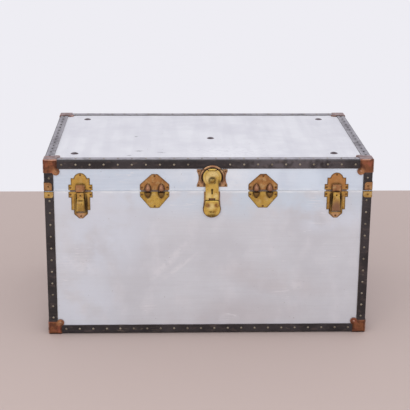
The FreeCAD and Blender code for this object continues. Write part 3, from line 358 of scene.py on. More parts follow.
# On the lock
REDDENED = [front_mark(lock_mm - 11, seam_mm - 37, (11, 60, 9), 20),
            front_mark(lock_mm + 12, seam_mm - 37, (10, 60, 10), -30)]
# Painted shade at the right of the hasp's head, across the slide and about the keyhole
LOCK_SHADE = [front_mark(lock_mm + 18, seam_mm + 22, (7, 30, 15)),
           front_mark(lock_mm, seam_mm - 54, (14, 30, 4)),
           front_mark(lock_mm, seam_mm + 1, (4, 60, 9))]
# Painted shade and dark reflection on the knob and in the well about it
KNOB_SHADE = [front_mark(lock_mm, seam_mm + 29, (15, 60, 15))]
KNOB_HOLE_SHADE = [front_mark(lock_mm, seam_mm + 35, (9, 60, 5))]
# Painted shade at the foot of the slide
SLIDE_FOOT_SHADE = [front_mark(lock_mm, seam_mm - 68, (32, 60, 13))]
# Painted shadow of the hasp's head on the collar about it
HASP_SHADOW_RING = [front_mark(lock_mm + way * x, seam_mm + z, reach) for way in (1, -1)
          for x, z, reach in ((25, 34, (7, 60, 22)), (20, 17, (6, 60, 10)))]
# Painted highlights on the hasp's head, its strap and the slide
LOCK_HIGHLIGHTS = [front_mark(lock_mm - 9, seam_mm + 36, (22, 30, 14), -35),
            front_mark(lock_mm + 2, seam_mm + 46, (22, 40, 12)),
            front_mark(lock_mm - 8, seam_mm - 12, (11, 30, 16)),
            front_mark(lock_mm + 9, seam_mm - 13, (9, 30, 12)),
            front_mark(lock_mm - 2, seam_mm - 40, (16, 30, 14))]

# Half lengths of the plates at the seam, and the lands inside the borders of the plates, around which a
# painted dark outline goes

LATCH_SEAM_HALF = 27
DOWEL_SEAM_HALF = 35
PLATES = [(latch_mm, LATCH_SEAM_HALF), (dowel_mm, DOWEL_SEAM_HALF)]
DOWEL_RIM = 0.35
LATCH_LANDS = [(latch_mm, [("box", 0, 28, 14.6), ("box", -8.3, 21.5, 39.9), ("box", -30, 15, 29),
                           ("round", 30.7, 14.3, 14.3), ("point", -56, 16.5, 18.5)], 0.5)]
HOOK_LANDS = [(latch_mm, [("box", 8.6, 11.0, 9.2)], 0.6)]
DOWEL_LID_LANDS = [(dowel_mm, [("box", 0, 34.8, 41.8)], DOWEL_RIM),
                   (dowel_mm, [("point", 0, 52.1, 47.7)], DOWEL_RIM)]
DOWEL_BASE_LANDS = [(dowel_mm, [("box", 0, 34.8, 42.8)], DOWEL_RIM),
                    (dowel_mm, [("point", 0, 46.1, 55)], DOWEL_RIM)]


# Finishes

def mill_aluminium(name, ground, bloom, rub, streak, lean, shift, gloss, marked):
    """Aluminium sheet as rolled, dulled by handling: pale lilac grey with cloudy bloom, faint streaks, wiped
    and scuffed places, hairline scratches, brown specks, and a wide soft gloss; the marks given to it also
    paint highlights, sheen and reflections, and it darkens a little in inner corners and turns brown behind
    the plates at the seam."""
    material, tree, shader, place = bare_finish(name, Metallic=0.42)
    width, stretch, strength = streak
    clouds = patches(tree, place, 150, 0.36, 0.68, shift, detail=5.0)
    smears = patches(tree, place, 48, 0.46, 0.74, shift + 1.7, (1, 1, 0.6))
    rolling = patches(tree, place, width, 0.36, 0.68, shift + 2.3, stretch, detail=2.0)
    grain = patches(tree, place, 1.6, 0.4, 0.7, shift + 3.3)
    hair = scratches(tree, place, 7, 130, lean, shift)
    specks = patches(tree, place, 6, 0.72, 0.77, shift + 5.3)
    darkened = crevices(tree, 3)
    places = []
    for shade, depth, grit, spots in marked:
        broken = patches(tree, place, grit, 0.3, 0.6, shift + 7.7, detail=5.0)
        places += stain_coats(tree, place, [(shade, depth, spots)], broken)
    colour = coats(tree, ground, (clouds, bloom, 0.55), (smears, rub, 0.4), (rolling, bloom, strength),
                   (grain, bloom, 0.12), *places, (hair, "#F4F4F7", 0.4), (specks, "#857A74", 0.6),
                   (darkened, "#8C8683", 0.12), *behind_plate_brown(tree, place, PLATES))
    swell = patches(tree, place, 120, 0.2, 0.8, shift + 6.1, detail=1.0)
    dress(tree, shader, colour, (clouds, *gloss), swell, 0.5)
    return material


def vulcanised_fibre(name, sheen_spots, nail_shade_spots):
    """Vulcanised fibre, pressed black from paper and polished: horn-like gloss, painted grey reflection in
    patches, brown scuffed edges, pale lilac on what lies flat that is dusty and painted sheen together, and
    painted nail shadow in a dark band along the nails."""
    material, tree, shader, place = bare_finish(name, IOR=1.54, Specular_IOR_Level=0.4)
    fade = patches(tree, place, 60, 0.38, 0.64, 0.4)
    scuff = patches(tree, place, 9, 0.56, 0.7, 1.2, (0.5, 0.5, 1))
    fine = patches(tree, place, 2.5, 0.46, 0.7, 2.1)
    hair = scratches(tree, place, 5, 60, SLANT, 0.9)
    edges = edge_band(tree, 1.4)
    lying = facing(tree, "Z", 0.93, 0.99)
    # Pale lilac on what lies flat: dusty, and painted sheen
    dust_and_sheen = overlap(tree, lying, patches(tree, place, 22, 0.12, 0.5, 3.3, detail=6.0))
    # Painted grey reflection, in patches, on the front binding
    grey_sheen = overlap(tree, marks(tree, place, sheen_spots), patches(tree, place, 14, 0.3, 0.6, 4.4, detail=5.0))
    cracks = overlap(tree, lying, patches(tree, place, 11, 0.5, 0.62, 5.6, (0.4, 1, 1)))
    # Painted nail shadow along the nails at the lid top's ends
    darkened = overlap(tree, marks(tree, place, nail_shade_spots), patches(tree, place, 8, 0.2, 0.55, 6.3, (1, 0.6, 1)))
    colour = coats(tree, "#201C1E", (fade, "#352F31", 0.8), (scuff, "#5A4B46", 0.4), (fine, "#413A39", 0.35),
                   (grey_sheen, "#746C70", 0.45), (hair, "#857668", 0.5), (edges, "#76665A", 0.45),
                   (dust_and_sheen, "#B6B1BA", 0.64), (cracks, "#4A4346", 0.45), (darkened, "#383236", 0.45))
    dress(tree, shader, colour, (fade, 0.3, 0.46), fine, 0.12)
    return material


def coppered_steel(name, stains):
    """Copper-plated pressed steel: red-brown with pale rubbed edges and corners, dark pits, single stains and
    painted shade, a pale line on its folds that is rubbed wear and painted highlight together, lilac grey on
    what lies flat that is dusty and painted sheen together, painted shade on its undersides, and darkening in
    the corners."""
    material, tree, shader, place = bare_finish(name, Metallic=0.7)
    stain = patches(tree, place, 16, 0.45, 0.64, 0.3)
    pits = patches(tree, place, 3.2, 0.6, 0.7, 1.4)
    warm = patches(tree, place, 24, 0.45, 0.66, 2.2)
    edges = edge_band(tree, 1.6)
    darkened = crevices(tree, 5)
    # Lilac grey on what lies flat: dusty, and painted sheen
    dust_and_sheen = overlap(tree, facing(tree, "Z", 0.7, 0.98), patches(tree, place, 12, 0.2, 0.5, 3.1))
    # Pale line on the folds: rubbed wear and painted highlight
    bent = overlap(tree, folds(tree, 1.2, 1.38), patches(tree, place, 9, 0.36, 0.56, 4.7))
    # Painted shade on the undersides
    under = facing(tree, "Z", -0.2, -0.8)
    places = stain_coats(tree, place, stains, patches(tree, place, 5, 0.2, 0.5, 5.9))
    colour = coats(tree, "#8E5C3E", (warm, "#A8624C", 0.8), (stain, "#5E3829", 0.75), (pits, "#35221A", 0.65),
                   (edges, "#D0A088", 0.6), *places, (bent, "#DDB29E", 0.6), (dust_and_sheen, "#95868A", 0.68),
                   (under, "#2E1A10", 0.7), (darkened, "#2E1C12", 0.7))
    dress(tree, shader, colour, (stain, 0.34, 0.58), pits, -0.25)
    return material


def aged_brass(name, fresh, tarnish, shift, raised=None, stains=(), edged=()):
    """Pressed brass sheet whose lacquer has gone: brown and coppery tarnish, rubbed pale places, single
    stains and painted shadows, painted shade on its edges, sides and undersides and as dark outlines inside
    the plates' borders, painted shade on raised bosses, and near-black darkening in the corners."""
    material, tree, shader, place = bare_finish(name, Metallic=0.7)
    cloud = patches(tree, place, 17, 0.42, 0.62, shift)
    specks = patches(tree, place, 4.5, 0.6, 0.7, shift + 1.1)
    rubbed = patches(tree, place, 10, 0.5, 0.7, shift + 2.7)
    # Painted shade on the edges, sides and undersides
    rims = edge_band(tree, 2.0)
    sides = flanks(tree, "X", 0.35, 0.9)
    under = facing(tree, "Z", -0.15, -0.8)
    darkened = crevices(tree, 6)
    places = stain_coats(tree, place, stains)
    # Painted dark outlines inside the borders of the plates
    places += [(border(tree, place, x, shapes), "#38230F", depth) for x, shapes, depth in edged]
    # Painted shade on what stands out from the front, such as the dowel bosses
    if raised:
        places.append((proud(tree, place, 3, 5), raised, 0.75))
    colour = coats(tree, fresh, (cloud, tarnish, 0.75), (rubbed, "#DCC48E", 0.4), (specks, "#5A3A1E", 0.55),
                   *places, (rims, "#3A2410", 0.6), (sides, "#4A2F1C", 0.6), (under, "#3E2814", 0.75),
                   (darkened, "#1C1207", 0.9))
    dress(tree, shader, colour, (cloud, 0.26, 0.44), specks, -0.15)
    return material


def rubbed_brass(name, stains_and_painted_light):
    """Cast brass kept bright by hands: clear yellow with bright rubbed edges and scratches, single stains,
    painted highlights, painted shade on its side walls, and near-black darkening in its corners.
    """
    material, tree, shader, place = bare_finish(name, Metallic=0.78)
    cloud = patches(tree, place, 14, 0.48, 0.7, 0.8)
    specks = patches(tree, place, 7, 0.6, 0.72, 1.9)
    hair = scratches(tree, place, 2.2, 22, ACROSS, 0.6)
    edges = edge_band(tree, 0.9)
    darkened = crevices(tree, 4)
    # Painted shade on the side walls of the hasp and slide
    walls = facing(tree, "Y", -0.8, -0.3)
    places = stain_coats(tree, place, stains_and_painted_light, patches(tree, place, 4, 0.2, 0.5, 2.6))
    colour = coats(tree, "#E2C266", (cloud, "#BA8E3E", 0.7), (specks, "#8A5A30", 0.6), (hair, "#F2E2A8", 0.5),
                   *places, (edges, "#F4E4AE", 0.5), (walls, "#563612", 0.75), (darkened, "#241605", 0.95))
    dress(tree, shader, colour, (cloud, 0.18, 0.34), hair, -0.08)
    return material


def turned_metal(name, ground, stain, bright, metallic, gloss, grain, plates=(), stains=()):
    """Small drawn or stamped metal pieces: one shade with stain in patches, grain mm across, bright edges,
    single marks of colour, which on the nail heads are painted shadow, and brown behind the plates at the
    seam."""
    material, tree, shader, place = bare_finish(name, Metallic=metallic)
    cloud = patches(tree, place, grain, 0.42, 0.64, 0.5)
    fine = patches(tree, place, grain / 5, 0.5, 0.72, 1.5)
    edges = edge_band(tree, 0.8)
    colour = coats(tree, ground, (cloud, stain, 0.75), (fine, stain, 0.4), (edges, bright, 0.6),
                   *stain_coats(tree, place, stains), *behind_plate_brown(tree, place, plates))
    dress(tree, shader, colour, (cloud, gloss, gloss + 0.2), fine, 0.06)
    return material


def birch_plywood(name, through, along):
    """Birch plywood gone yellow inside: fine grain along the sheet, handling stains, and the layers of the
    ply as stripes on its sawn edges."""
    material, tree, shader, place = bare_finish(name, IOR=1.46)
    grain = patches(tree, place, 6, 0.38, 0.66, 0.7, along, detail=4.0)
    pores = patches(tree, place, 2.2, 0.55, 0.7, 1.9, along)
    age = patches(tree, place, 130, 0.4, 0.66, 2.9)
    stain = patches(tree, place, 40, 0.62, 0.75, 4.2)
    across = add(tree, "ShaderNodeSeparateXYZ", {0: place}).outputs[through]
    ply = 1.5 * MM
    layer = add(tree, "ShaderNodeMath", {0: across, 1: math.pi / ply}, operation="MULTIPLY")
    stripe = add(tree, "ShaderNodeMath", {0: layer.outputs[0]}, operation="SINE")
    flat = flanks(tree, through, 0.4, 0.6)
    sawn = add(tree, "ShaderNodeMath", {0: stripe.outputs[0], 1: flat}, operation="SUBTRACT", use_clamp=True)
    colour = coats(tree, "#C9A878", (age, "#B48F60", 0.6), (grain, "#A98253", 0.5), (pores, "#84603A", 0.45),
                   (stain, "#7B5C3D", 0.35), (sawn.outputs[0], "#7A5836", 0.8))
    dress(tree, shader, colour, (grain, 0.55, 0.7), pores, -0.15)
    return material


def strap_leather(name):
    """Bridle leather, dyed dark brown: pebbled grain drawn coarse enough to show, cracks where it bends, and
    pale edges rubbed by use."""
    material, tree, shader, place = bare_finish(name, IOR=1.48, Specular_IOR_Level=0.45)
    pebble_mm = 1.8
    cells = add(tree, "ShaderNodeTexVoronoi", {"Vector": place, "Scale": 1 / (pebble_mm * MM)},
                feature="DISTANCE_TO_EDGE")
    pebble = add(tree, "ShaderNodeMapRange", {"Value": cells.outputs[0], "From Max": 0.16}).outputs[0]
    wear = patches(tree, place, 30, 0.46, 0.66, 0.6)
    cracks = patches(tree, place, 3, 0.58, 0.68, 1.3, (1, 0.25, 1.6))
    edges = edge_band(tree, 1.6)
    colour = coats(tree, "#4A2C1C", (wear, "#6B4329", 0.7), (cracks, "#26150D", 0.6),
                   (edges, "#8A5E3C", 0.55))
    dress(tree, shader, colour, (wear, 0.42, 0.58), pebble, 0.25)
    return material


def waxed_thread(name):
    """Waxed linen thread: dull buff, darker in patches of grime."""
    material, tree, shader, place = bare_finish(name, IOR=1.45)
    darkened = patches(tree, place, 12, 0.42, 0.64, 0.3)
    twist = patches(tree, place, 0.9, 0.35, 0.7, 1.1)
    colour = coats(tree, "#B79C72", (darkened, "#7D6443", 0.7), (twist, "#8F774F", 0.4))
    dress(tree, shader, colour, (darkened, 0.6, 0.75), twist, 0.1)
    return material


# Painted shadow, laid on the draw bolts' plates, levers and hooks
LEVER_SHADOW = ("#2C1505", 0.8, LEVER_SHADOW_SPOTS)

# The wall's marks include painted bluish sheen on the upper front, painted warm floor reflection and a
# painted highlight along the seam
wall_sheet = mill_aluminium(
    "mill_aluminium_wall", ground="#DCE0E6", bloom="#C9C9CE", rub="#E9EAEF", streak=(5, LEVEL, 0.14),
    lean=SLANT, shift=0.0, gloss=(0.38, 0.52),
    marked=[("#F1F1F5", 0.35, 9, WIPED), ("#E2EAF5", 0.6, 70, CLEAN_PATCHES_AND_SHEEN), ("#BDADA9", 0.25, 140, WARM_FLOOR_REFLECTION),
            ("#D4E6F5", 0.6, 70, UPPER_FRONT_SHEEN), ("#F6FCFF", 0.75, 30, SEAM_GLINT)])
# The lid front's marks include painted highlights about the lock and along the seam
lid_sheet = mill_aluminium(
    "mill_aluminium_lid_wall", ground="#D9E6F3", bloom="#CBD7E5", rub="#E8EEF7", streak=(5, LEVEL, 0.3),
    lean=SLANT, shift=0.31, gloss=(0.38, 0.52),
    marked=[("#E8F4FF", 0.6, 90, PALE_LID), ("#F8FCFF", 0.6, 60, LID_GLINT),
            ("#EEF8FF", 0.45, 30, SEAM_GLINT)])
top_sheet = mill_aluminium(
    "mill_aluminium_lid_top", ground="#E9E9EC", bloom="#D7D6DC", rub="#F0F0F2",
    streak=(26, TOP_STREAKS, 0.4), lean=ON_TOP, shift=0.57, gloss=(0.56, 0.66),
    marked=[("#FAFAFC", 0.4, 9, PALE_TOP), ("#5C555A", 0.8, 4, SCUFFED)])
fibre = vulcanised_fibre("black_vulcanised_fibre", BINDING_SHEEN, NAIL_SHADE_LINES)
# On the caps: pale ears, and painted shade at their sides and feet
copper = coppered_steel("coppered_steel", [("#C89468", 0.7, PALE_EARS), ("#2E150A", 0.75, CAP_SIDE_SHADE)])
# On the draw bolts, the near-black marks are painted shadow by the levers and hooks
latch_brass = aged_brass(
    "aged_brass_latch", "#CEA550", "#A4743C", shift=0.0, edged=LATCH_LANDS,
    stains=[("#C08652", 0.75, BROWNED), ("#DAB058", 0.5, YELLOWED), ("#CCA080", 0.75, TIPS), LEVER_SHADOW])
# On the levers, the dark line across the left one is painted shade in its step
lever_brass = aged_brass(
    "aged_brass_lever", "#DCB860", "#B0803E", shift=5.2,
    stains=[("#866052", 0.85, COPPERY), ("#96783C", 0.6, OLIVE), ("#4A2E10", 0.8, LEVER_STEP_SHADE), LEVER_SHADOW])
hook_brass = aged_brass(
    "aged_brass_hook", "#B4845A", "#865838", shift=4.1, edged=HOOK_LANDS, stains=[LEVER_SHADOW])
# On the dowel plates, the colours given for what stands out are painted shade on the bosses
dowel_lid_brass = aged_brass(
    "aged_brass_coppery", "#BE8C54", "#9C6A3C", shift=0.9, raised="#8C6250", edged=DOWEL_LID_LANDS)
dowel_base_brass = aged_brass(
    "aged_brass_olive", "#D6B45A", "#B48A3C", shift=1.6, raised="#6A4A2A", edged=DOWEL_BASE_LANDS)
# Painted shadow of the hasp's head on the lock's collar
lock_brass = aged_brass(
    "aged_brass_lock", "#CCA278", "#A67458", shift=2.4, stains=[("#2C1505", 0.75, HASP_SHADOW_RING)])
clip_brass = aged_brass("aged_brass_clip", "#D4B064", "#A88042", shift=3.3)
lid_clip_brass = aged_brass("aged_brass_lid_clip", "#B2865A", "#8A5E40", shift=3.9)
# On the hasp and slide: painted highlights, painted shade, and red-brown rust spots
hand_brass = rubbed_brass(
    "rubbed_brass",
    [("#FFEDA8", 0.8, LOCK_HIGHLIGHTS), ("#4E3014", 0.8, LOCK_SHADE), ("#864C2A", 0.85, REDDENED),
     ("#5C3A16", 0.6, KNOB_SHADE), ("#33200A", 0.75, KNOB_HOLE_SHADE), ("#4A3210", 0.85, SLIDE_FOOT_SHADE)])
# The nail heads along the lid top's ends take painted nail shadow
nail_brass = turned_metal(
    "brassed_nail", "#A49A88", "#6C6050", "#DCD5C8", metallic=0.75, gloss=0.36, grain=30,
    stains=[("#221C1F", 0.95, NAIL_SHADE_LINES)])
stud_steel = turned_metal(
    "blued_stud_steel", "#6A5E62", "#473C3F", "#A79DA0", metallic=0.75, gloss=0.4, grain=12)
rim_metal = turned_metal(
    "plated_rim_strip", "#ECF4FC", "#DCE4EE", "#F4F9FD", metallic=0.25, gloss=0.32, grain=60, plates=PLATES)
fitting_steel = turned_metal(
    "brassed_steel", "#A08352", "#6A4E30", "#DCC48C", metallic=0.8, gloss=0.34, grain=18)
rivet_brass = turned_metal(
    "aged_brass_rivet", "#7C5832", "#4C321A", "#B08C54", metallic=0.7, gloss=0.34, grain=6)
pin_steel = turned_metal(
    "drawn_pin_steel", "#8E8880", "#5F564C", "#CFCAC2", metallic=0.85, gloss=0.3, grain=10)
leather = strap_leather("brown_bridle_leather")
thread = waxed_thread("waxed_linen_thread")
ply_y = birch_plywood("birch_plywood_front_back", 1, ALONG_X)
ply_x = birch_plywood("birch_plywood_ends", 0, ALONG_Y)
ply_z = birch_plywood("birch_plywood_flat", 2, ALONG_X)

# Which finish each node of the frame takes: the first word group that its name holds decides

FINISH_OF = (
    ("lid_top_sheet", top_sheet), ("lid_front_sheet", lid_sheet), ("_sheet", wall_sheet),
    ("end_panels", ply_x), ("front_panel", ply_y), ("back_panel", ply_y), ("_panel", ply_z),
    ("_binding", fibre), ("_cap", copper), ("lid_corner_clips", lid_clip_brass),
    ("corner_clips", clip_brass), ("rim_strips", rim_metal), ("studs", stud_steel),
    ("dowel_lid", dowel_lid_brass), ("dowel_base", dowel_base_brass),
    ("lock_hasp_pin", pin_steel), ("lock_lid", lock_brass), ("lock_base", lock_brass),
    ("lock_hasp", hand_brass), ("lock_slide", hand_brass),
    ("latch_lever_pins", pin_steel), ("latch_lever", lever_brass), ("latch_hook", hook_brass),
    ("latch", latch_brass), ("hinge_pins", pin_steel), ("hinge", fitting_steel),
    ("handle_loops", fitting_steel), ("handle_straps", leather),
)

for name, node in nodes.items():
    finish = next(material for words, material in FINISH_OF if words in name)
    node.data.materials.clear()
    node.data.materials.append(finish)


# What repeats: domed heads and stitches, grown on seats by node trees

HEAD_SIDES = 10
HEAD_STEPS = 3
HEAD_CROWN = 0.3
HEAD_CURVE = 2.6
HEAD_SEED = 7
STITCH_SIDES = 6
STITCH_RINGS = 4


def new_tree(name, *sizes):
    """A geometry tree that takes seats, the named sizes and a finish, and gives one mesh."""
    tree = bpy.data.node_groups.new(name, "GeometryNodeTree")
    tree.interface.new_socket("Seats", in_out="INPUT", socket_type="NodeSocketGeometry")
    for label in sizes:
        tree.interface.new_socket(label, in_out="INPUT", socket_type="NodeSocketFloat")
    tree.interface.new_socket("Finish", in_out="INPUT", socket_type="NodeSocketMaterial")
    tree.interface.new_socket("Mesh", in_out="OUTPUT", socket_type="NodeSocketGeometry")
    return tree, add(tree, "NodeGroupInput").outputs


def set_out(tree, given, shape, **placing):
    """Ends a tree: its shape, shaded smooth, stands on every seat, becomes one mesh and takes its finish."""
    soft = add(tree, "GeometryNodeSetShadeSmooth", {"Geometry": shape})
    copies = add(tree, "GeometryNodeInstanceOnPoints", {"Points": given["Seats"],
                                                        "Instance": soft.outputs[0], **placing})
    solid = add(tree, "GeometryNodeRealizeInstances", {"Geometry": copies.outputs[0]})
    done = add(tree, "GeometryNodeSetMaterial", {"Geometry": solid.outputs[0], "Material": given["Finish"]})
    add(tree, "NodeGroupOutput", {0: done.outputs[0]})


def domed_heads():
    """Low domes of a nail or rivet: a stepped cone whose rings are raised onto a bowl curve."""
    tree, given = new_tree("domed heads", "Head radius", "Head rise", "Size spread")
    radius, rise = given["Head radius"], given["Head rise"]
    crown = add(tree, "ShaderNodeMath", {0: radius, 1: HEAD_CROWN}, operation="MULTIPLY")
    cone = add(tree, "GeometryNodeMeshCone", {"Vertices": HEAD_SIDES, "Side Segments": HEAD_STEPS,
                                              "Radius Top": crown.outputs[0], "Radius Bottom": radius,
                                              "Depth": rise})
    spot = add(tree, "ShaderNodeSeparateXYZ", {0: add(tree, "GeometryNodeInputPosition").outputs[0]}).outputs
    level = add(tree, "ShaderNodeCombineXYZ", {"X": spot["X"], "Y": spot["Y"]})
    reach = add(tree, "ShaderNodeVectorMath", {0: level.outputs[0]}, operation="LENGTH")
    share = add(tree, "ShaderNodeMath", {0: reach.outputs["Value"], 1: radius}, operation="DIVIDE")
    fall = add(tree, "ShaderNodeMath", {0: share.outputs[0], 1: HEAD_CURVE}, operation="POWER")
    stay = add(tree, "ShaderNodeMath", {0: 1.0, 1: fall.outputs[0]}, operation="SUBTRACT")
    lift = add(tree, "ShaderNodeMath", {0: stay.outputs[0], 1: rise}, operation="MULTIPLY")
    bowl = add(tree, "ShaderNodeCombineXYZ", {"X": spot["X"], "Y": spot["Y"], "Z": lift.outputs[0]})
    head = add(tree, "GeometryNodeSetPosition", {"Geometry": cone.outputs["Mesh"],
                                                 "Position": bowl.outputs[0]})
    out = add(tree, "GeometryNodeInputNamedAttribute", {"Name": "out"}, data_type="FLOAT_VECTOR")
    stand = add(tree, "FunctionNodeAlignRotationToVector", {"Vector": out.outputs[0]}, axis="Z")
    small = add(tree, "ShaderNodeMath", {0: 1.0, 1: given["Size spread"]}, operation="SUBTRACT")
    size = add(tree, "FunctionNodeRandomValue", {2: small.outputs[0], 3: 1.0, "Seed": HEAD_SEED},
               data_type="FLOAT")
    set_out(tree, given, head.outputs[0], Rotation=stand.outputs[0], Scale=size.outputs[1])
    return tree


def thread_stitches():
    """Short plump stitches that lie along a seam."""
    tree, given = new_tree("thread stitches", "Stitch length", "Thread width")
    width = given["Thread width"]
    bead = add(tree, "GeometryNodeMeshUVSphere", {"Segments": STITCH_SIDES, "Rings": STITCH_RINGS,
                                                  "Radius": 0.5})
    shape = add(tree, "ShaderNodeCombineXYZ", {"X": given["Stitch length"], "Y": width, "Z": width})
    long = add(tree, "GeometryNodeTransform", {"Geometry": bead.outputs["Mesh"], "Scale": shape.outputs[0]})
    out = add(tree, "GeometryNodeInputNamedAttribute", {"Name": "out"}, data_type="FLOAT_VECTOR")
    along = add(tree, "GeometryNodeInputNamedAttribute", {"Name": "along"}, data_type="FLOAT_VECTOR")
    lie = add(tree, "FunctionNodeAxesToRotation", {0: along.outputs[0], 1: out.outputs[0]},
              primary_axis="X", secondary_axis="Z")
    set_out(tree, given, long.outputs[0], Rotation=lie.outputs[0])
    return tree


def show(name, mesh):
    """A mesh as an object of the scene."""
    piece = bpy.data.objects.new(name, mesh)
    bpy.context.scene.collection.objects.link(piece)
    return piece


def grow(name, tree, seats, sizes):
    """Runs a tree on seats, given as rows of a point and its directions, and keeps the plain mesh."""
    mesh = bpy.data.meshes.new(name)
    mesh.from_pydata([row[0] for row in seats], [], [])
    for column, label in enumerate(("out", "along")[:len(seats[0]) - 1], 1):
        values = [number for row in seats for number in row[column]]
        mesh.attributes.new(label, "FLOAT_VECTOR", "POINT").data.foreach_set("vector", values)
    piece = show(name, mesh)
    growth = piece.modifiers.new("growth", "NODES")
    growth.node_group = tree
    sockets = {item.name: item.identifier for item in tree.interface.items_tree if item.in_out == "INPUT"}
    for label, value in sizes.items():
        growth[sockets[label]] = value
    made = bpy.data.meshes.new_from_object(piece.evaluated_get(bpy.context.evaluated_depsgraph_get()))
    piece.modifiers.remove(growth)
    piece.data = made
    return piece


head_tree = domed_heads()
stitch_tree = thread_stitches()

# Kinds of head: radius and rise in mm, and by what share the smallest falls short

NAIL_HEAD = (3.1, 1.2, 0.14)
PLATE_HEAD = (2.9, 1.0, 0.06)
CAP_HEAD = (3.0, 0.7, 0.0)
HINGE_HEAD = (3.0, 1.0, 0.0)
SMALL_HEAD = (2.6, 0.9, 0.0)


def heads(name, body, finish, kind, seats):
    """One piece with all the heads of a kind that a body carries."""
    radius, rise, spread = kind
    piece = grow(name, head_tree, seats, {"Head radius": radius * MM, "Head rise": rise * MM,
                                          "Size spread": spread, "Finish": finish})
    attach(piece, body)
    return piece


# Binding nails, where the frame has its plain nail solids

def nail_seats(node):
    """Foot and direction of each nail: its thin way is its axis, away from the middle of the trunk."""
    work = bmesh.new()
    work.from_mesh(nodes[node].data)
    bmesh.ops.remove_doubles(work, verts=work.verts, dist=0.01 * MM)
    left = set(work.verts)
    seats = []
    while left:
        edge_of_patch = [left.pop()]
        points = []
        while edge_of_patch:
            vert = edge_of_patch.pop()
            points.append(vert.co.copy())
            fresh = {link.other_vert(vert) for link in vert.link_edges} & left
            left -= fresh
            edge_of_patch += fresh
        low = Vector([min(point[axis] for point in points) for axis in range(3)])
        high = Vector([max(point[axis] for point in points) for axis in range(3)])
        axis = min(range(3), key=lambda way: high[way] - low[way])
        spot = (low + high) / 2
        out = Vector((0, 0, 0))
        out[axis] = math.copysign(1, spot[axis] - centre[axis])
        spot[axis] = low[axis] if out[axis] > 0 else high[axis]
        seats.append((spot, out))
    work.free()
    return sorted(seats, key=lambda seat: tuple(round(number, 4) for number in seat[0]))


for part in ("base", "lid"):
    nails = heads(part + "_domed_nails", part, nail_brass, NAIL_HEAD,
                  nail_seats(part + "_binding_nails"))
    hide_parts(part + "_binding_nails")


# Rivets of the plates: spots in mm right of a plate's middle and above the seam

FORWARD = Vector((0, -1, 0))
REARWARD = Vector((0, 1, 0))


def on_front(x, spots):
    """Seats on a plate of the front, from its middle x in mm and its spots."""
    return [(Vector(((x + right) * MM, front - PLATE_THICK, seam + up * MM)), FORWARD) for right, up in spots]


def mirrored(spots):
    """Spots with their twins on the other side of the middle."""
    return [(way * right, up) for right, up in spots for way in (1, -1)]


LATCH_SPOTS = {"lid": mirrored([(25.5, 9.3)]) + [(0, 42.5)], "base": mirrored([(25.5, -9.0)]) + [(0, -67)]}
DOWEL_SPOTS = {"lid": mirrored([(32.5, 9.5)]) + [(0, 39.5)], "base": mirrored([(32.5, -9.5)]) + [(0, -40.5)]}
LOCK_SPOTS = mirrored([(34.5, 52), (34.5, 15)])

for part in ("lid", "base"):
    seats = [seat for x in (-latch_mm, latch_mm) for seat in on_front(x, LATCH_SPOTS[part])]
    seats += [seat for x in (-dowel_mm, dowel_mm) for seat in on_front(x, DOWEL_SPOTS[part])]
    if part == "lid":
        seats += on_front(lock_mm, LOCK_SPOTS)
    heads(part + "_plate_rivets", part, rivet_brass, PLATE_HEAD, seats)

# Rivets of the corner caps, in the ears of their upright faces, and of the corner clips

cap_low, cap_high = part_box("base_front_left_cap")[0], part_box("lid_back_right_cap")[1]
CAP_RIVET_IN = 31 * MM + CAP_WALL
CLIP_RIVET_IN = 12 * MM


def corner_seats(low, high, into, z):
    """Seats at one level by the four corners of a box, on the front or back and on the end."""
    seats = []
    for x, away_x in ((low.x, 1), (high.x, -1)):
        for y, away_y in ((low.y, 1), (high.y, -1)):
            seats.append((Vector((x + away_x * into, y, z)), Vector((0, -away_y, 0))))
            seats.append((Vector((x, y + away_y * into, z)), Vector((-away_x, 0, 0))))
    return seats


for part, z in (("lid", cap_high.z - CAP_RIVET_IN), ("base", cap_low.z + CAP_RIVET_IN)):
    heads(part + "_cap_rivets", part, copper, CAP_HEAD,
          corner_seats(cap_low, cap_high, CAP_RIVET_IN, z))

for part in ("lid", "base"):
    low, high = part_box(part + "_corner_clips")
    heads(part + "_clip_rivets", part, rivet_brass, SMALL_HEAD,
          corner_seats(low, high, CLIP_RIVET_IN, (low.z + high.z) / 2))

# Rivets of the hinges and of the handle loops

HINGE_HALF = 33.2 * MM
HINGE_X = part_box("hinge_pins")[1].x - HINGE_HALF
HINGE_SPOTS = mirrored([(22, 34), (22, 17)])
for part, way in (("lid", 1), ("base", -1)):
    seats = [(Vector((x + right * MM, back + PLATE_THICK, seam + way * up * MM)), REARWARD)
             for x in (-HINGE_X, 0, HINGE_X) for right, up in HINGE_SPOTS]
    heads(part + "_hinge_rivets", part, fitting_steel, HINGE_HEAD, seats)

loop_low, loop_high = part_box("handle_loops")
handle_z = (loop_low.z + loop_high.z) / 2
LOOP_OUT = 112 * MM
FOOT_UP = 24.4 * MM
FOOT_ALONG = 7 * MM
seats = []
for way in (1, -1):
    for end in (1, -1):
        for along in (FOOT_ALONG, -FOOT_ALONG):
            for up in (FOOT_UP, -FOOT_UP):
                spot = Vector((way * (side + LOOP_WALL), middle_y + end * LOOP_OUT + along, handle_z + up))
                seats.append((spot, Vector((way, 0, 0))))
heads("handle_loop_rivets", "base", fitting_steel, SMALL_HEAD, seats)


# Leather handles, in mm

STRAP_HALF = 15.0
STRAP_THICK = 5.0
STRAP_GAP = 0.3
STRAP_BOW = 15.0
STRAP_FLAT = 99.0
STRAP_END = 128.0
STRAP_STATIONS = 96
TAIL_ROUND = 7.0
EDGE_ROUND = 1.3
FACE_CROWN = 0.5
FACE_SHARES = (0.86, 0.6, 0.3, 0.0, -0.3, -0.6, -0.86)
STITCH_IN = 3.6
STITCH_PITCH = 6.0
STITCH_LENGTH = 4.4
STITCH_SINK = 0.5
THREAD_WIDTH = 1.0


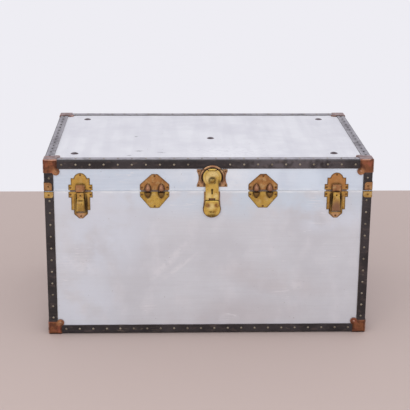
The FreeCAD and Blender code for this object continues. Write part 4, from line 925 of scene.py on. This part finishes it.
def strap_rise(along):
    """How far the strap's back stands off the trunk at a place along it: a smooth bow between the loops."""
    if abs(along) >= STRAP_FLAT:
        return STRAP_GAP
    return STRAP_GAP + STRAP_BOW * (0.5 + 0.5 * math.cos(math.pi * along / STRAP_FLAT))


def strap_frame(along):
    """Place on the strap's back and its two directions there, along the strap and out from the trunk."""
    step = 0.5
    slope = Vector((2 * step, strap_rise(along + step) - strap_rise(along - step))).normalized()
    return Vector((along, strap_rise(along))), slope, Vector((-slope.y, slope.x))


def strap_section(half):
    """Outline of the cut strap: flat back, rounded edges, and a face with a low crown."""
    edge = EDGE_ROUND
    shoulder = STRAP_THICK - FACE_CROWN
    rear = [(-half + edge * 0.6, 0.0), (half - edge * 0.6, 0.0)]
    right = [(half - edge * 0.15, edge * 0.35), (half, edge), (half, shoulder - edge),
             (half - edge * 0.3, shoulder - edge * 0.3)]
    face = [(half * share, STRAP_THICK - FACE_CROWN * share ** 2) for share in FACE_SHARES]
    left = [(-across, up) for across, up in reversed(right)]
    return rear + right + face + left


def to_trunk(way, flat, across):
    """A point of the strap, from mm along and out, and mm across, to its place on one end of the trunk."""
    return Vector((way * (side + flat.y * MM), middle_y + flat.x * MM, handle_z + across * MM))


def leather_straps():
    """Both straps, swept along their bow, with rounded tails."""
    work = bmesh.new()
    for way in (1, -1):
        rings = []
        for station in range(STRAP_STATIONS + 1):
            turn = math.pi * station / STRAP_STATIONS
            along = -STRAP_END * math.cos(turn)
            near = min(TAIL_ROUND, STRAP_END - abs(along))
            half = STRAP_HALF - TAIL_ROUND + math.sqrt(TAIL_ROUND ** 2 - (TAIL_ROUND - near) ** 2)
            spot, _, out = strap_frame(along)
            rings.append([work.verts.new(to_trunk(way, spot + out * up, across))
                          for across, up in strap_section(half)])
        for ring, after in zip(rings, rings[1:]):
            for at in range(len(ring)):
                work.faces.new((ring[at - 1], ring[at], after[at], after[at - 1]))
        work.faces.new(rings[0])
        work.faces.new(rings[-1])
    bmesh.ops.recalc_face_normals(work, faces=work.faces)
    for face in work.faces:
        face.smooth = len(face.verts) == 4
    mesh = bpy.data.meshes.new("leather_straps")
    work.to_mesh(mesh)
    work.free()
    mesh.materials.append(leather)
    return show("leather_straps", mesh)


straps = leather_straps()
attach(straps, "base")
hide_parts("handle_straps")

seats = []
rows = int(2 * (STRAP_END - TAIL_ROUND) / STITCH_PITCH)
for way in (1, -1):
    for number in range(rows + 1):
        spot, slope, out = strap_frame((number - rows / 2) * STITCH_PITCH)
        for across in (STRAP_HALF - STITCH_IN, STITCH_IN - STRAP_HALF):
            place = to_trunk(way, spot + out * (STRAP_THICK - STITCH_SINK), across)
            seats.append((place, Vector((way * out.y, out.x, 0)), Vector((way * slope.y, slope.x, 0))))
stitches = grow("strap_stitches", stitch_tree, seats, {"Stitch length": STITCH_LENGTH * MM,
                                                       "Thread width": THREAD_WIDTH * MM, "Finish": thread})
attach(stitches, "base")


# Studio: plain pale floor that ends behind the trunk, plain pale surroundings, soft lamps

FLOOR_REACH = 9.0
FLOOR_BACK = 1.05
LAMP_SIZE = 2.4

floor_finish = bare_finish("plain_floor", Roughness=0.75, Base_Color=linear("#C5B3AB"))[0]
floor_mesh = bpy.data.meshes.new("floor")
floor_mesh.from_pydata([(-FLOOR_REACH, -FLOOR_REACH, 0), (FLOOR_REACH, -FLOOR_REACH, 0),
                        (FLOOR_REACH, FLOOR_BACK, 0), (-FLOOR_REACH, FLOOR_BACK, 0)], [], [(0, 1, 2, 3)])
floor_mesh.materials.append(floor_finish)
floor = show("floor", floor_mesh)

world = bpy.data.worlds.new("pale_room")
bpy.context.scene.world = world
world.use_nodes = True
tree = world.node_tree
tree.nodes.clear()
path = add(tree, "ShaderNodeLightPath").outputs
seen = path["Is Camera Ray"]
for ray in ("Is Glossy Ray", "Is Transmission Ray"):
    seen = add(tree, "ShaderNodeMath", {0: seen, 1: path[ray]}, operation="MAXIMUM").outputs[0]
wall = add(tree, "ShaderNodeBackground", {"Color": linear("#EEEDF3"), "Strength": 1.0})
ambient = add(tree, "ShaderNodeBackground", {"Color": linear("#F4F4FA"), "Strength": 0.98})
room = add(tree, "ShaderNodeMixShader", {0: seen, 1: ambient.outputs[0], 2: wall.outputs[0]})
add(tree, "ShaderNodeOutputWorld", {"Surface": room.outputs[0]})


def soft_lamp(name, place, aim, power, shade):
    """A square soft box that faces a point of the trunk."""
    light = bpy.data.lights.new(name, "AREA")
    light.size = LAMP_SIZE
    light.energy = power
    light.color = linear(shade)[:3]
    lamp = bpy.data.objects.new(name, light)
    lamp.location = place
    lamp.rotation_euler = (Vector(aim) - Vector(place)).to_track_quat("-Z", "Y").to_euler()
    bpy.context.scene.collection.objects.link(lamp)


soft_lamp("key_box", place=(-1.2, -3.2, 2.3), aim=(0, 0, 0.25), power=26, shade="#FFFDFA")
soft_lamp("fill_box", place=(2.0, -3.0, 1.7), aim=(0, 0, 0.2), power=10, shade="#F6F8FF")

# Camera, as solved from the trunk's corners in the photograph

CAMERA_PLACE = (-0.11102, -3.07922, 1.23899)
YAW, PITCH, ROLL = (math.radians(angle) for angle in (2.060, 17.390, 0.4545))
LENS_MM = 101.19
SENSOR_MM = 36.0

camera_data = bpy.data.cameras.new("camera")
camera_data.lens = LENS_MM
camera_data.sensor_width = SENSOR_MM
camera = bpy.data.objects.new("camera", camera_data)
turn = (Matrix.Rotation(-YAW, 4, "Z") @ Matrix.Rotation(math.pi / 2 - PITCH, 4, "X")
        @ Matrix.Rotation(ROLL, 4, "Z"))
camera.matrix_world = Matrix.Translation(CAMERA_PLACE) @ turn
bpy.context.scene.collection.objects.link(camera)
bpy.context.scene.camera = camera
bpy.context.scene.view_settings.view_transform = "Standard"
